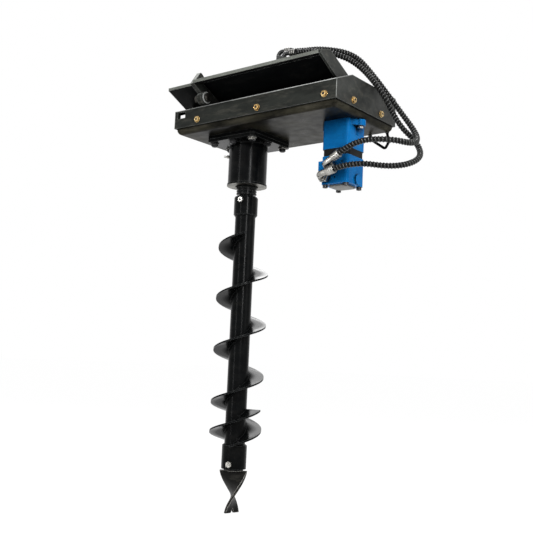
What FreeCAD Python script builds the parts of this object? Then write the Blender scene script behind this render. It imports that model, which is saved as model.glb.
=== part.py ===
"""Chain-drive earth auger for a compact carrier, built from its separate pieces.

The frame: Z runs up the spindle axis, X runs along the chain case from the
spindle towards the hydraulic motor, and Y runs across it, away from the hook
lip.  The origin is where the spindle axis meets the flat top of the case.
"""
import FreeCAD, Part
import math
import os
import re

import Sketcher
from FreeCAD import Placement, Rotation, Vector

# Chain drive: the two sprockets and the number of links set the distance between the shafts
CHAIN_PITCH = 25.4
DRIVEN_TEETH = 26
DRIVER_TEETH = 12
CHAIN_LINKS = 46


def pitch_radius(teeth):
    return CHAIN_PITCH / 2.0 / math.sin(math.pi / teeth)


def centre_distance():
    """Distance between the shafts at which whole pitches lie on each sprocket and on the straight strand."""
    leave = math.pi - 2.0 * math.pi * ON_DRIVEN / DRIVEN_TEETH
    arrive = 2.0 * math.pi * ON_DRIVER / DRIVER_TEETH
    big, small = pitch_radius(DRIVEN_TEETH), pitch_radius(DRIVER_TEETH)
    drop = big * math.sin(leave) - small * math.sin(arrive)
    strand = math.sqrt((ON_STRAND * CHAIN_PITCH) ** 2 - drop ** 2)
    return big * math.cos(leave) + strand - small * math.cos(arrive)


# Pitches of half the chain: on the driven sprocket, on the straight strand and on the driver
STEP_DOWN = pitch_radius(DRIVEN_TEETH) - pitch_radius(DRIVER_TEETH)
ROUGH_REACH = (CHAIN_LINKS - (DRIVEN_TEETH + DRIVER_TEETH) / 2.0) * CHAIN_PITCH / 2.0
LEAN = math.asin(STEP_DOWN / ROUGH_REACH)
ON_DRIVEN = math.floor((math.pi / 2.0 + LEAN) * DRIVEN_TEETH / (2.0 * math.pi))
ON_DRIVER = math.ceil((math.pi / 2.0 - LEAN) * DRIVER_TEETH / (2.0 * math.pi))
ON_STRAND = CHAIN_LINKS // 2 - ON_DRIVEN - ON_DRIVER


SIZES = {
    # Case: a folded cover over a shallow tray
    "CaseLeft": 165.0,
    "CaseWidth": 304.0,
    "CaseHeight": 100.0,
    "CoverSheet": 4.0,
    "SkirtLift": 17.5,
    "ChamferRun": 74.0,
    "ChamferDrop": 30.6,
    "TraySheet": 6.0,
    "TrayGap": 0.5,
    "TrayWall": 45.0,
    "TrayBend": 14.0,
    "CoverBoltRise": 33.5,
    "CoverBoltStart": 92.5,
    "CoverBoltEnd": 37.0,
    "CoverBoltSide": 71.0,
    "CoverBoltRadius": 4.0,
    "CoverBoltHead": 7.5,
    "NotchStart": 11.0,
    "NotchLength": 31.0,
    "NotchTop": 35.0,
    "NotchDepth": 19.0,
    "EndNotchStart": 20.0,
    "EndNotchLength": 42.0,
    "EndNotchTop": 14.0,
    "EndNotchDepth": 28.0,
    # Hitch: a leaning plate with a hooked lip, closed by a side plate at each end
    "HitchOverhang": 28.0,
    "HitchInset": 27.0,
    "HitchSheet": 8.0,
    "HitchRise": 38.0,
    "HitchRun": 80.0,
    "LipRun": 42.0,
    "LipDrop": 13.0,
    "EarPlace": 60.0,
    "EarThick": 14.0,
    "EarReach": 30.0,
    "EarTop": 6.0,
    "EarRise": 18.0,
    "EarBack": 11.0,
    "CheekDepth": 43.0,
    # Lock pin beside the ear
    "LockPinRadius": 12.5,
    "LockPinTail": 12.0,
    "LockPinOut": 10.0,
    "LockPinInset": 8.0,
    "LockPinDrop": 3.6,
    "LockBushRadius": 17.0,
    "LockBushLength": 24.0,
    "LugRadius": 20.0,
    "PullBarRadius": 3.5,
    "PullBarLength": 34.0,
    "PullBarInset": 5.0,
    "PullBarRoot": 4.0,
    "RunningGap": 0.05,
    "HoleGap": 0.3,
    # Spindle housing under the case
    "SpindleOpening": 50.0,
    "RootFillet": 5.0,
    "PadSize": 180.0,
    "PadThick": 10.0,
    "FlangeThick": 10.0,
    "FlangeCorner": 14.0,
    "FlangeBoltSide": 72.0,
    "FlangeBoltRadius": 6.0,
    "FlangeBoltFlats": 19.0,
    "BarrelRadius": 57.5,
    "BarrelLength": 119.0,
    "BarrelBore": 36.0,
    "BearingRadius": 45.0,
    "BearingBore": 25.0,
    "BearingWidth": 20.0,
    "BearingWall": 7.0,
    "UpperSeatDepth": 22.0,
    "LowerSeatDepth": 30.0,
    "EndRingRadius": 59.5,
    "EndRingThick": 6.0,
    "ShaftCollar": 32.3,
    "ShaftNeck": 28.25,
    "ShaftSpigot": 21.0,
    "CollarLength": 21.0,
    "NeckLength": 21.0,
    "SpigotLength": 60.0,
    "SprocketSeat": 20.0,
    "ThreadRadius": 15.0,
    "ThreadLength": 12.0,
    "ShaftTop": 26.0,
    "NippleDrop": 156.0,
    # Chain and sprockets
    "ChainLevel": 52.0,
    "ChainClearance": 2.2,
    "RollerRadius": 7.94,
    "RollerWidth": 15.75,
    "LinkPlate": 3.2,
    "LinkPlateHeight": 22.0,
    "SprocketThick": 14.6,
    "DrivenHubRadius": 34.0,
    "DriverHubRadius": 24.0,
    "KeyWidth": 8.0,
    "KeyHeight": 7.0,
    # Hydraulic motor
    "MotorSize": 85.0,
    "MotorCorner": 9.0,
    "MotorFlangeThick": 16.0,
    "MotorPilot": 41.2,
    "MotorPilotHeight": 5.0,
    "MotorBoltReach": 52.0,
    "MotorBoltRadius": 5.0,
    "MotorBoltFlats": 16.0,
    "MotorEarRadius": 15.0,
    "MotorBodyDrop": 63.5,
    "RotorRingThick": 19.5,
    "PortBlockHeight": 77.0,
    "EndCapSize": 56.0,
    "EndCapThick": 5.0,
    "MotorShaftRadius": 12.5,
    "MotorShaftDepth": 60.0,
    "MotorShaftHole": 20.0,
    "EndScrewGap": 1.3,
    "MotorKeyRise": 14.0,
    "DriverHubRise": 12.0,
    "DriverHubSink": 4.0,
    "SprocketKeyRise": 8.0,
    "SprocketKeyGap": 4.0,
    "CapScrewSide": 33.0,
    "UpperPortX": -8.0,
    "UpperPortDrop": 33.0,
    "LowerPortX": -27.0,
    "LowerPortDrop": 59.0,
    "PortRadius": 8.0,
    "FittingNut": 27.0,
    "FittingReach": 34.0,
    # Hoses
    "HoseRadius": 8.5,
    "CouplerRadius": 15.0,
    "CouplerLength": 84.0,
    "CouplerLevel": 24.0,
    "CouplerNearX": 140.0,
    "CouplerFarX": 92.0,
    "CouplerSetback": 27.4,
    "CouplerSpacing": 40.0,
    "BracketMargin": 24.0,
    "BracketHeight": 56.0,
    "BracketSheet": 6.0,
    # Auger
    "HubRadius": 35.3,
    "HubLength": 57.0,
    "TubeRadius": 30.0,
    "TubeWall": 5.0,
    "TubeLength": 667.0,
    "FlightRadius": 75.0,
    "FlightPitch": 150.0,
    "FlightThick": 5.0,
    "FlightTop": 58.1,
    "LeadFlightHeight": 98.5,
    "FlightFoot": -61.8,
    "LeadFoot": 141.0,
    "HubBoltRadius": 6.0,
    "HubBoltDrop": 14.0,
    "CollarRadius": 36.0,
    "BitCollarLength": 66.5,
    "BitShank": 20.0,
    "BitBoltRadius": 5.0,
    "BitNeck": 28.0,
    "BitNeckHeight": 5.5,
    "BladeWidth": 79.0,
    "BladeTipWidth": 48.0,
    "BladeThick": 12.0,
    "BladeHeight": 118.0,
    "BladeTurn": 32.0,
    "BladeTwist": 134.0,
    "NotchWidth": 12.0,
    "NotchRise": 13.0,
}

# Sizes that follow from the ones above
SIZES["CentreDistance"] = centre_distance()
SIZES["DriverPitch"] = pitch_radius(DRIVER_TEETH)
DERIVED = {
    "CaseRight": "CentreDistance + DriverPitch + LinkPlateHeight / 2 + ChainClearance"
                 " + TraySheet + TrayGap + CoverSheet",
    "CaseLength": "CaseLeft + CaseRight",
    "SkirtDrop": "CaseHeight - SkirtLift",
    "CoverBoltDrop": "CaseHeight - CoverBoltRise",
    "MotorShaftTop": "ChainLevel - SprocketThick / 2 + EndScrewGap",
    "MotorKeyLength": "CaseHeight - MotorKeyRise - MotorShaftTop",
    "DriverHubLength": "CaseHeight - DriverHubRise - ChainLevel + DriverHubSink",
    "SprocketKeyLength": "CaseHeight - SprocketKeyRise - SprocketKeyGap - ShaftTop - ThreadLength",
    "CoverBoltStep": "(CaseLength - CoverBoltStart - CoverBoltEnd) / 2",
    "HitchLeft": "CaseLeft + HitchOverhang",
    "HitchRight": "CaseRight - HitchInset",
    "LockPinY": "CaseWidth / 2 - LockPinInset",
    "LipThick": "HitchSheet * sqrt(HitchRun ^ 2 + HitchRise ^ 2) / HitchRun",
    "UpperFoot": "-CaseWidth / 2 + ChamferRun + LipThick * HitchRun / HitchRise",
    "CouplerNearY": "UpperFoot + CouplerSetback",
    "CouplerFarY": "CouplerNearY + CouplerSpacing",
    "HubEnd": "-(CaseHeight + PadThick + FlangeThick + BarrelLength - LowerSeatDepth + BearingWidth"
              " + CollarLength + NeckLength + 5 + HubLength)",
    "TubeEnd": "HubEnd - TubeLength",
    "FlightHeight": "(TubeLength - FlightTop - FlightThick / 2) / 4",
}

document = FreeCAD.newDocument("earth_auger")
sheet = document.addObject("Spreadsheet::Sheet", "Sizes")
for row, (alias, amount) in enumerate([*SIZES.items(), *DERIVED.items()], start=1):
    sheet.set(f"A{row}", alias)
    sheet.set(f"B{row}", "=" + amount if alias in DERIVED else str(amount))
    sheet.setAlias(f"B{row}", alias)
document.recompute()

nodes = []


NAMES = {*SIZES, *DERIVED}


def size(alias):
    return float(sheet.get(alias))


def formula(text):
    """The same formula with each size read from its cell in the sheet."""
    return re.sub(r"[A-Z]\w+", lambda word: "Sizes." + word[0] if word[0] in NAMES else word[0], text)


def bind(item, field, text):
    item.setExpression(field, formula(text))


def node(item, label):
    item.Label = label
    nodes.append(item)
    return item


# Heights of the main faces, as formulas of the sheet's cells
CASE_UNDER = "(-CaseHeight)"
SKIRT_EDGE = "(-SkirtDrop)"
FRONT = "(-CaseWidth / 2)"
RIDGE = "(-CaseWidth / 2 + ChamferRun)"
PLATE_TOP_Y = f"({RIDGE} - HitchRun)"
PAD_UNDER = f"({CASE_UNDER} - PadThick)"
FLANGE_UNDER = f"({PAD_UNDER} - FlangeThick)"
BARREL_END = f"({FLANGE_UNDER} - BarrelLength)"
LOWER_SHOULDER = f"({BARREL_END} + LowerSeatDepth - BearingWidth)"
COLLAR_END = f"({LOWER_SHOULDER} - CollarLength)"
NECK_END = f"({COLLAR_END} - NeckLength)"
SPIGOT_END = f"({NECK_END} - SpigotLength)"
HUB_TOP = f"({NECK_END} - 5)"
COLLAR_BASE = "(TubeEnd - BitCollarLength)"
MOTOR_FLANGE_UNDER = f"({CASE_UNDER} - MotorFlangeThick)"
MOTOR_BODY_END = f"({MOTOR_FLANGE_UNDER} - MotorBodyDrop)"
ROTOR_RING_END = f"({MOTOR_BODY_END} - RotorRingThick)"
PORT_BLOCK_END = f"({ROTOR_RING_END} - PortBlockHeight)"
SPROCKET_SHOULDER = f"({CASE_UNDER} - 4)"


def new_body(label, x="0", y="0", z="0"):
    body = document.addObject("PartDesign::Body", label)
    for axis, text in zip("xyz", (x, y, z)):
        bind(body, f"Placement.Base.{axis}", text)
    return body


def sketch_on(body, plane, level="0"):
    """An empty sketch on one of the body's own origin planes, moved along its normal."""
    support = next(item for item in body.Origin.OriginFeatures if item.Role == plane)
    sketch = body.newObject("Sketcher::SketchObject", body.Name + "_sketch")
    sketch.AttachmentSupport = [(support, "")]
    sketch.MapMode = "FlatFace"
    bind(sketch, "AttachmentOffset.Base.z", level)
    return sketch


def pin_point(sketch, curve, end, across, up):
    """Hold one point of a curve at a place given by two formulas."""
    for kind, text in (("DistanceX", across), ("DistanceY", up)):
        index = sketch.addConstraint(Sketcher.Constraint(kind, -1, 1, curve, end, 1.0))
        bind(sketch, f"Constraints[{index}]", text)


def outline(sketch, corners):
    """A closed outline of straight lines, started as a rough ring and held by its corners."""
    count = len(corners)
    first = sketch.GeometryCount
    step = 2 * math.pi / count
    ring = [Vector(math.cos(step * i), math.sin(step * i), 0) for i in range(count)]
    for i in range(count):
        sketch.addGeometry(Part.LineSegment(ring[i], ring[(i + 1) % count]), False)
    for i in range(count):
        sketch.addConstraint(Sketcher.Constraint("Coincident", first + i, 2, first + (i + 1) % count, 1))
    for i, (across, up) in enumerate(corners):
        pin_point(sketch, first + i, 1, across, up)


def rectangle(sketch, left, low, right, high):
    outline(sketch, [(left, low), (right, low), (right, high), (left, high)])


def circle(sketch, across, up, radius):
    curve = sketch.addGeometry(Part.Circle(Vector(1, 1, 0), Vector(0, 0, 1), 1.0), False)
    pin_point(sketch, curve, 3, across, up)
    index = sketch.addConstraint(Sketcher.Constraint("Radius", curve, 1.0))
    bind(sketch, f"Constraints[{index}]", radius)


def pad(body, sketch, length):
    feature = body.newObject("PartDesign::Pad", body.Name + "_pad")
    feature.Profile = sketch
    bind(feature, "Length", length)
    sketch.Visibility = False
    return feature


def pocket(body, sketch, length, forward=False):
    """Cut against the sketch's normal, or along it where forward is set."""
    feature = body.newObject("PartDesign::Pocket", body.Name + "_pocket")
    feature.Profile = sketch
    feature.Reversed = forward
    bind(feature, "Length", length)
    return feature


def turned(label, profile, x="0"):
    """A body turned about its own Z axis from a half outline of radius and height."""
    body = new_body(label, x=x)
    sketch = sketch_on(body, "XZ_Plane")
    outline(sketch, profile)
    feature = body.newObject("PartDesign::Revolution", label + "_turned")
    feature.Profile = sketch
    feature.ReferenceAxis = (sketch, ["V_Axis"])
    feature.Angle = 360.0
    return body


def ring_profile(inner, outer, low, high):
    return [(inner, low), (outer, low), (outer, high), (inner, high)]


def round_edges(body, kind, radius, wanted):
    """Fillet or chamfer the edges of the body's tip that the test picks."""
    document.recompute()
    picked = [f"Edge{i}" for i, edge in enumerate(body.Shape.Edges, start=1) if wanted(edge)]
    feature = body.newObject("PartDesign::" + kind, body.Name + "_" + kind.lower())
    feature.Base = (body.Group[-2], picked)
    bind(feature, "Radius" if kind == "Fillet" else "Size", radius)
    return feature


def cylinder(name, radius, height, x="0", y="0", z="0", turn=None):
    item = document.addObject("Part::Cylinder", name)
    bind(item, "Radius", radius)
    bind(item, "Height", height)
    if turn:
        item.Placement = Placement(Vector(), turn)
    for axis, text in zip("xyz", (x, y, z)):
        bind(item, f"Placement.Base.{axis}", text)
    return item


def block(name, length, width, height, x, y, z):
    item = document.addObject("Part::Box", name)
    for field, text in (("Length", length), ("Width", width), ("Height", height)):
        bind(item, field, text)
    for axis, text in zip("xyz", (x, y, z)):
        bind(item, f"Placement.Base.{axis}", text)
    return item


def cut(name, base, tools):
    item = base
    for number, tool in enumerate(tools):
        step = document.addObject("Part::Cut", f"{name}_cut{number}")
        step.Base = item
        step.Tool = tool
        item = step
    return item


def fused(name, items):
    item = document.addObject("Part::MultiFuse", name)
    item.Shapes = items
    return item


def made(name, shape, place=None):
    item = document.addObject("Part::Feature", name)
    item.Shape = shape
    if place:
        item.Placement = place
    return item


def group(name, shapes):
    return made(name, Part.makeCompound(shapes))


def upright_edge(edge):
    return abs(edge.tangentAt(edge.FirstParameter).z) > 0.99


ALONG_X = Rotation(Vector(0, 1, 0), 90)
ALONG_Y = Rotation(Vector(1, 0, 0), -90)
X, Y, Z = Vector(1, 0, 0), Vector(0, 1, 0), Vector(0, 0, 1)


def rod(radius, length, start, direction):
    return Part.makeCylinder(radius, length, start, direction)


def hexagon(flats, height, start, direction):
    """A hexagonal prism with the given distance across its flats."""
    prism = Part.makePolygon([Vector(flats / math.sqrt(3) * math.cos(math.radians(60 * i)),
                                     flats / math.sqrt(3) * math.sin(math.radians(60 * i)), 0)
                              for i in range(7)])
    solid = Part.Face(prism).extrude(Vector(0, 0, height))
    solid.Placement = Placement(start, Rotation(Z, direction))
    return solid


def hex_bolt(flats, head, radius, shank, seat, outward):
    """A bolt whose head stands outward from its seat and whose shank goes the other way."""
    return hexagon(flats, head, seat, outward).fuse(rod(radius, shank, seat, outward * -1)).removeSplitter()


def cap_screw(radius, seat, outward, head_radius, head, shank):
    socket = hexagon(head_radius, head / 2.0, seat + outward * (head / 2.0), outward)
    top = rod(head_radius, head, seat, outward).cut(socket)
    return top.fuse(rod(radius, shank, seat, outward * -1)).removeSplitter()


def swept_tube(points, radius, bend=None):
    """A round rod along straight runs joined by tangent arcs, with the arcs' radii."""
    corners = []
    for before, corner, after in zip(points, points[1:], points[2:]):
        back, ahead = (before - corner), (after - corner)
        half_turn = (math.pi - back.getAngle(ahead)) / 2.0
        shorter = min(back.Length, ahead.Length)
        bow = bend if bend else 0.45 * shorter / math.tan(half_turn)
        reach = bow * math.tan(half_turn)
        start = corner + back.normalize() * reach
        end = corner + ahead.normalize() * reach
        centre = corner + (back + ahead).normalize() * (bow / math.cos(half_turn))
        middle = centre + (corner - centre).normalize() * bow
        corners.append((start, middle, end, bow))
    edges = []
    here = points[0]
    for start, middle, end, bow in corners:
        edges.append(Part.LineSegment(here, start).toShape())
        edges.append(Part.Arc(start, middle, end).toShape())
        here = end
    edges.append(Part.LineSegment(here, points[-1]).toShape())
    path = Part.Wire(edges)
    ring = Part.Wire(Part.Circle(points[0], points[1] - points[0], radius).toShape())
    tube = path.makePipeShell([ring], True, False)
    return tube, [round(corner[3], 1) for corner in corners], path.Length


def corner_places(half):
    return [(sx * half, sy * half) for sx in (-1, 1) for sy in (-1, 1)]


# The case: tray and cover
def slope_at(across):
    return f"(-ChamferDrop + ({across} - {FRONT}) * ChamferDrop / ChamferRun)"


def bolt_rows():
    return [f"(-CaseLeft + CoverBoltStart + {i} * CoverBoltStep)" for i in range(3)]


def wall_holes(body):
    """Cover bolt holes through both long walls and both end walls."""
    sketch = sketch_on(body, "XZ_Plane", "CaseWidth / 2 + 1")
    for place in bolt_rows():
        circle(sketch, place, "(-CoverBoltDrop)", "CoverBoltRadius + HoleGap")
    pocket(body, sketch, "CaseWidth + 2")
    sketch = sketch_on(body, "YZ_Plane", "CaseRight + 1")
    for side in ("(-CoverBoltSide)", "CoverBoltSide"):
        circle(sketch, side, "(-CoverBoltDrop)", "CoverBoltRadius + HoleGap")
    pocket(body, sketch, "CaseLength + 2")


FLANGE_SPOTS = [("(-FlangeBoltSide)", "(-FlangeBoltSide)"), ("0", "(-FlangeBoltSide)"),
                ("FlangeBoltSide", "(-FlangeBoltSide)"), ("FlangeBoltSide", "0"),
                ("FlangeBoltSide", "FlangeBoltSide"), ("0", "FlangeBoltSide"),
                ("(-FlangeBoltSide)", "FlangeBoltSide"), ("(-FlangeBoltSide)", "0")]
MOTOR_SPOTS = [(f"(CentreDistance {side} MotorBoltReach)", "0") for side in "+-"]


def make_tray():
    body = new_body("tray_body")
    sketch = sketch_on(body, "XY_Plane", CASE_UNDER)
    inset = "(CoverSheet + TrayGap)"
    rectangle(sketch, f"(-CaseLeft + {inset})", f"({FRONT} + {inset})",
              f"(CaseRight - {inset})", f"(-{FRONT} - {inset})")
    pad(body, sketch, "TrayWall")
    under = -size("CaseHeight")
    round_edges(body, "Fillet", "TrayBend / 2", upright_edge)
    round_edges(body, "Fillet", "TrayBend", lambda edge: edge.BoundBox.ZMax < under + 0.1)
    sketch = sketch_on(body, "XY_Plane", f"({CASE_UNDER} + TraySheet)")
    inner = "(CoverSheet + TrayGap + TraySheet)"
    rectangle(sketch, f"(-CaseLeft + {inner})", f"({FRONT} + {inner})",
              f"(CaseRight - {inner})", f"(-{FRONT} - {inner})")
    pocket(body, sketch, "TrayWall", forward=True)
    sketch = sketch_on(body, "XY_Plane", f"({CASE_UNDER} + TraySheet + 1)")
    circle(sketch, "0", "0", "SpindleOpening")
    circle(sketch, "CentreDistance", "0", "MotorPilot + RunningGap")
    for across, along in FLANGE_SPOTS:
        circle(sketch, across, along, "FlangeBoltRadius + HoleGap")
    for across, along in MOTOR_SPOTS:
        circle(sketch, across, along, "MotorBoltRadius + HoleGap")
    pocket(body, sketch, "TraySheet + 2")
    wall_holes(body)
    return node(body, "case_tray")


def make_cover():
    body = new_body("cover_body")
    sketch = sketch_on(body, "YZ_Plane", "(-CaseLeft)")
    outline(sketch, [(FRONT, SKIRT_EDGE), (FRONT, "(-ChamferDrop)"), (RIDGE, "0"),
                     (f"(-{FRONT})", "0"), (f"(-{FRONT})", SKIRT_EDGE)])
    pad(body, sketch, "CaseLength")
    half = size("CaseWidth") / 2.0
    round_edges(body, "Fillet", "CoverSheet", lambda edge: abs(edge.tangentAt(edge.FirstParameter).x) > 0.99
                and edge.BoundBox.ZMin > -size("SkirtDrop") + 1.0 and edge.BoundBox.YMax < half + 1.0)
    lean = "(CoverSheet * sqrt(ChamferRun^2 + ChamferDrop^2) / ChamferRun)"
    sketch = sketch_on(body, "YZ_Plane", "(CaseRight - CoverSheet)")
    inner_front = f"({FRONT} + CoverSheet)"
    inner_ridge = f"({RIDGE} + ({lean} - CoverSheet) * ChamferRun / ChamferDrop)"
    outline(sketch, [(inner_front, f"({SKIRT_EDGE} - 1)"),
                     (inner_front, f"({slope_at(inner_front)} - {lean})"),
                     (inner_ridge, "(-CoverSheet)"), (f"(-{inner_front})", "(-CoverSheet)"),
                     (f"(-{inner_front})", f"({SKIRT_EDGE} - 1)")])
    pocket(body, sketch, "(CaseLength - 2 * CoverSheet)")
    wall_holes(body)
    sketch = sketch_on(body, "XZ_Plane", "(CaseWidth / 2 + 1)")
    rectangle(sketch, "(-CaseLeft + NotchStart)", "(-NotchTop - NotchDepth)",
              "(-CaseLeft + NotchStart + NotchLength)", "(-NotchTop)")
    pocket(body, sketch, "(CoverSheet + 2)")
    sketch = sketch_on(body, "YZ_Plane", "(-CaseLeft + CoverSheet + 1)")
    near, far = f"({FRONT} + EndNotchStart)", f"({FRONT} + EndNotchStart + EndNotchLength)"
    outline(sketch, [(near, f"({slope_at(near)} - EndNotchDepth)"),
                     (near, f"({slope_at(near)} - EndNotchTop)"),
                     (far, f"({slope_at(far)} - EndNotchTop)"), (far, f"({slope_at(near)} - EndNotchDepth)")])
    pocket(body, sketch, "(CoverSheet + 2)")
    return node(body, "case_cover")


def make_cover_bolts():
    left, half = -size("CaseLeft"), size("CaseWidth") / 2.0
    right = size("CaseRight")
    seats = []
    for i in range(3):
        place = left + size("CoverBoltStart") + i * size("CoverBoltStep")
        seats += [(place, -half, Y * -1), (place, half, Y)]
    for side in (-size("CoverBoltSide"), size("CoverBoltSide")):
        seats += [(left, side, X * -1), (right, side, X)]
    radius, head = size("CoverBoltRadius"), size("CoverBoltHead")
    bolts = [hex_bolt(2 * head - 1, 5.5, radius, 18, Vector(x, y, -size("CoverBoltDrop")), outward)
             for x, y, outward in seats]
    return node(group("cover_bolt_group", bolts), "cover_bolts")


# The hitch
PLATE_TOP = f"(HitchRise + LipThick)"
LIP_END_Y = f"({PLATE_TOP_Y} - LipRun)"
LIP_END_LOW = "(HitchRise - LipDrop)"
LIP_END_HIGH = "(HitchRise - LipDrop + HitchSheet + 1)"
CHEEK_FOOT = f"({RIDGE} - CheekDepth)"


def make_hitch_plate():
    body = new_body("hitch_body")
    sketch = sketch_on(body, "YZ_Plane", "(-HitchLeft)")
    outline(sketch, [(RIDGE, "0"), (PLATE_TOP_Y, "HitchRise"), (LIP_END_Y, LIP_END_LOW),
                     (LIP_END_Y, LIP_END_HIGH), (PLATE_TOP_Y, PLATE_TOP), ("UpperFoot", "0")])
    pad(body, sketch, "(HitchLeft + HitchRight)")
    bend_y = size("CaseWidth") / -2.0 + size("ChamferRun") - size("HitchRun")

    def at_bend(edge):
        box = edge.BoundBox
        return box.XLength > 1 and abs(box.YMin - bend_y) < 0.1 and box.ZMin > size("HitchRise") + 1

    round_edges(body, "Fillet", "(HitchSheet + 4)", at_bend)
    sketch = sketch_on(body, "XY_Plane", f"({PLATE_TOP} + 1)")
    rectangle(sketch, "(-HitchLeft - 1)", f"({LIP_END_Y} - 1)", "(-EarPlace + EarThick / 2)", PLATE_TOP_Y)
    pocket(body, sketch, "(HitchRise + 20)")
    return node(body, "hitch_plate")


def make_gussets():
    body = new_body("right_cheek")
    sketch = sketch_on(body, "YZ_Plane", "HitchRight")
    outline(sketch, [(CHEEK_FOOT, slope_at(CHEEK_FOOT)), (LIP_END_Y, LIP_END_LOW), (LIP_END_Y, LIP_END_HIGH),
                     (PLATE_TOP_Y, PLATE_TOP), ("UpperFoot", "0"), (RIDGE, "0")])
    pad(body, sketch, "HitchSheet")
    node(body, "gusset_right")
    body = new_body("left_cheek")
    ear = "(-EarPlace - EarThick / 2)"
    sketch = sketch_on(body, "YZ_Plane", ear)
    outline(sketch, [(CHEEK_FOOT, slope_at(CHEEK_FOOT)), (f"({LIP_END_Y} + 4)", f"({LIP_END_LOW} + 2)"),
                     (f"({LIP_END_Y} + EarReach)", f"({PLATE_TOP} + EarRise)"),
                     (f"({LIP_END_Y} + EarReach + EarTop)", f"({PLATE_TOP} + EarRise)"),
                     (f"({PLATE_TOP_Y} + EarBack)", f"({PLATE_TOP} + 5)"),
                     (f"({PLATE_TOP_Y} + EarBack)", f"({PLATE_TOP} - EarBack * HitchRise / HitchRun)"),
                     (PLATE_TOP_Y, PLATE_TOP), (PLATE_TOP_Y, "HitchRise"), (RIDGE, "0")])
    pad(body, sketch, "EarThick")
    sketch = sketch_on(body, "YZ_Plane", ear)
    circle(sketch, "(-LockPinY)", "(-LockPinDrop)", "LugRadius")
    pad(body, sketch, "EarThick")
    sketch = sketch_on(body, "YZ_Plane", "(-EarPlace + EarThick / 2 + 1)")
    circle(sketch, "(-LockPinY)", "(-LockPinDrop)", "LockBushRadius")
    pocket(body, sketch, "(EarThick + 2)")
    return node(body, "gusset_left")


def make_lock():
    place = {"x": "(-EarPlace - LockBushLength / 2)", "y": "(-LockPinY)", "z": "(-LockPinDrop)"}
    outer = cylinder("bush_outer", "LockBushRadius", "LockBushLength", turn=ALONG_X, **place)
    inner = cylinder("bush_bore", "(LockPinRadius + RunningGap)", "LockBushLength", turn=ALONG_X, **place)
    node(cut("bush", outer, [inner]), "lock_bush")
    tail = "(-EarPlace - LockBushLength / 2 - LockPinTail)"
    pin = cylinder("pin_blank", "LockPinRadius", "(LockPinTail + LockBushLength + LockPinOut)", tail,
                   place["y"], place["z"], ALONG_X)
    tilt = Rotation(Vector(1, 0, 0), -50)
    lean = tilt.multVec(Z)
    bar_place = (f"({tail} + PullBarInset)", f"(-LockPinY - PullBarRoot * {lean.y})",
                 f"(-LockPinDrop - PullBarRoot * {lean.z})")
    hole = cylinder("pin_hole", "PullBarRadius", "PullBarLength", *bar_place, turn=tilt)
    node(cut("pin", pin, [hole]), "lock_pin")
    node(cylinder("pull_bar_rod", "PullBarRadius", "PullBarLength", *bar_place, turn=tilt), "pull_bar")


# The spindle housing
def square_on(body, level, side, thick, corner):
    sketch = sketch_on(body, "XY_Plane", level)
    rectangle(sketch, f"(-{side} / 2)", f"(-{side} / 2)", f"({side} / 2)", f"({side} / 2)")
    pad(body, sketch, thick)
    round_edges(body, "Fillet", corner, upright_edge)


def make_pad():
    body = new_body("pad_body")
    square_on(body, PAD_UNDER, "PadSize", "PadThick", "FlangeCorner")
    sketch = sketch_on(body, "XY_Plane", CASE_UNDER)
    circle(sketch, "0", "0", "SpindleOpening")
    for across, along in FLANGE_SPOTS:
        circle(sketch, across, along, "FlangeBoltRadius + HoleGap")
    pocket(body, sketch, "PadThick")
    return node(body, "mounting_pad")


def make_housing():
    body = new_body("housing_body")
    square_on(body, FLANGE_UNDER, "PadSize", "FlangeThick", "FlangeCorner")
    sketch = sketch_on(body, "XY_Plane", BARREL_END)
    circle(sketch, "0", "0", "BarrelRadius")
    pad(body, sketch, "BarrelLength")
    document.recompute()
    under = -size("CaseHeight") - size("PadThick") - size("FlangeThick")
    girth = 2 * math.pi * size("BarrelRadius")
    round_edges(body, "Fillet", "RootFillet", lambda edge: abs(edge.BoundBox.ZMin - under) < 0.01
                and abs(edge.BoundBox.ZMax - under) < 0.01 and abs(edge.Length - girth) < 0.1)
    sketch = sketch_on(body, "XY_Plane", PAD_UNDER)
    circle(sketch, "0", "0", "BarrelBore")
    for across, along in FLANGE_SPOTS:
        circle(sketch, across, along, "FlangeBoltRadius + HoleGap")
    pocket(body, sketch, "(FlangeThick + BarrelLength)")
    sketch = sketch_on(body, "XY_Plane", PAD_UNDER)
    circle(sketch, "0", "0", "BearingRadius")
    pocket(body, sketch, "UpperSeatDepth")
    sketch = sketch_on(body, "XY_Plane", BARREL_END)
    circle(sketch, "0", "0", "BearingRadius")
    pocket(body, sketch, "LowerSeatDepth", forward=True)
    nipple = cylinder("nipple_hole", "3", "20", "(-(BarrelRadius - 10) * 0.7826)",
                      "(-(BarrelRadius - 10) * 0.6225)", "(-NippleDrop)",
                      Rotation(Z, Vector(-0.7826, -0.6225, 0)))
    node(cut("housing", body, [nipple]), "spindle_housing")
    ring = turned("end_ring_body", ring_profile("(ShaftCollar + 1.7)", "EndRingRadius",
                                                f"({BARREL_END} - EndRingThick)", BARREL_END))
    node(ring, "housing_end_ring")
    seal = turned("seal_body", ring_profile("(ShaftCollar + RunningGap)", "BearingRadius",
                                            f"({BARREL_END} + 0.1)", f"({LOWER_SHOULDER} - 2)"))
    node(seal, "shaft_seal")


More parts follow.
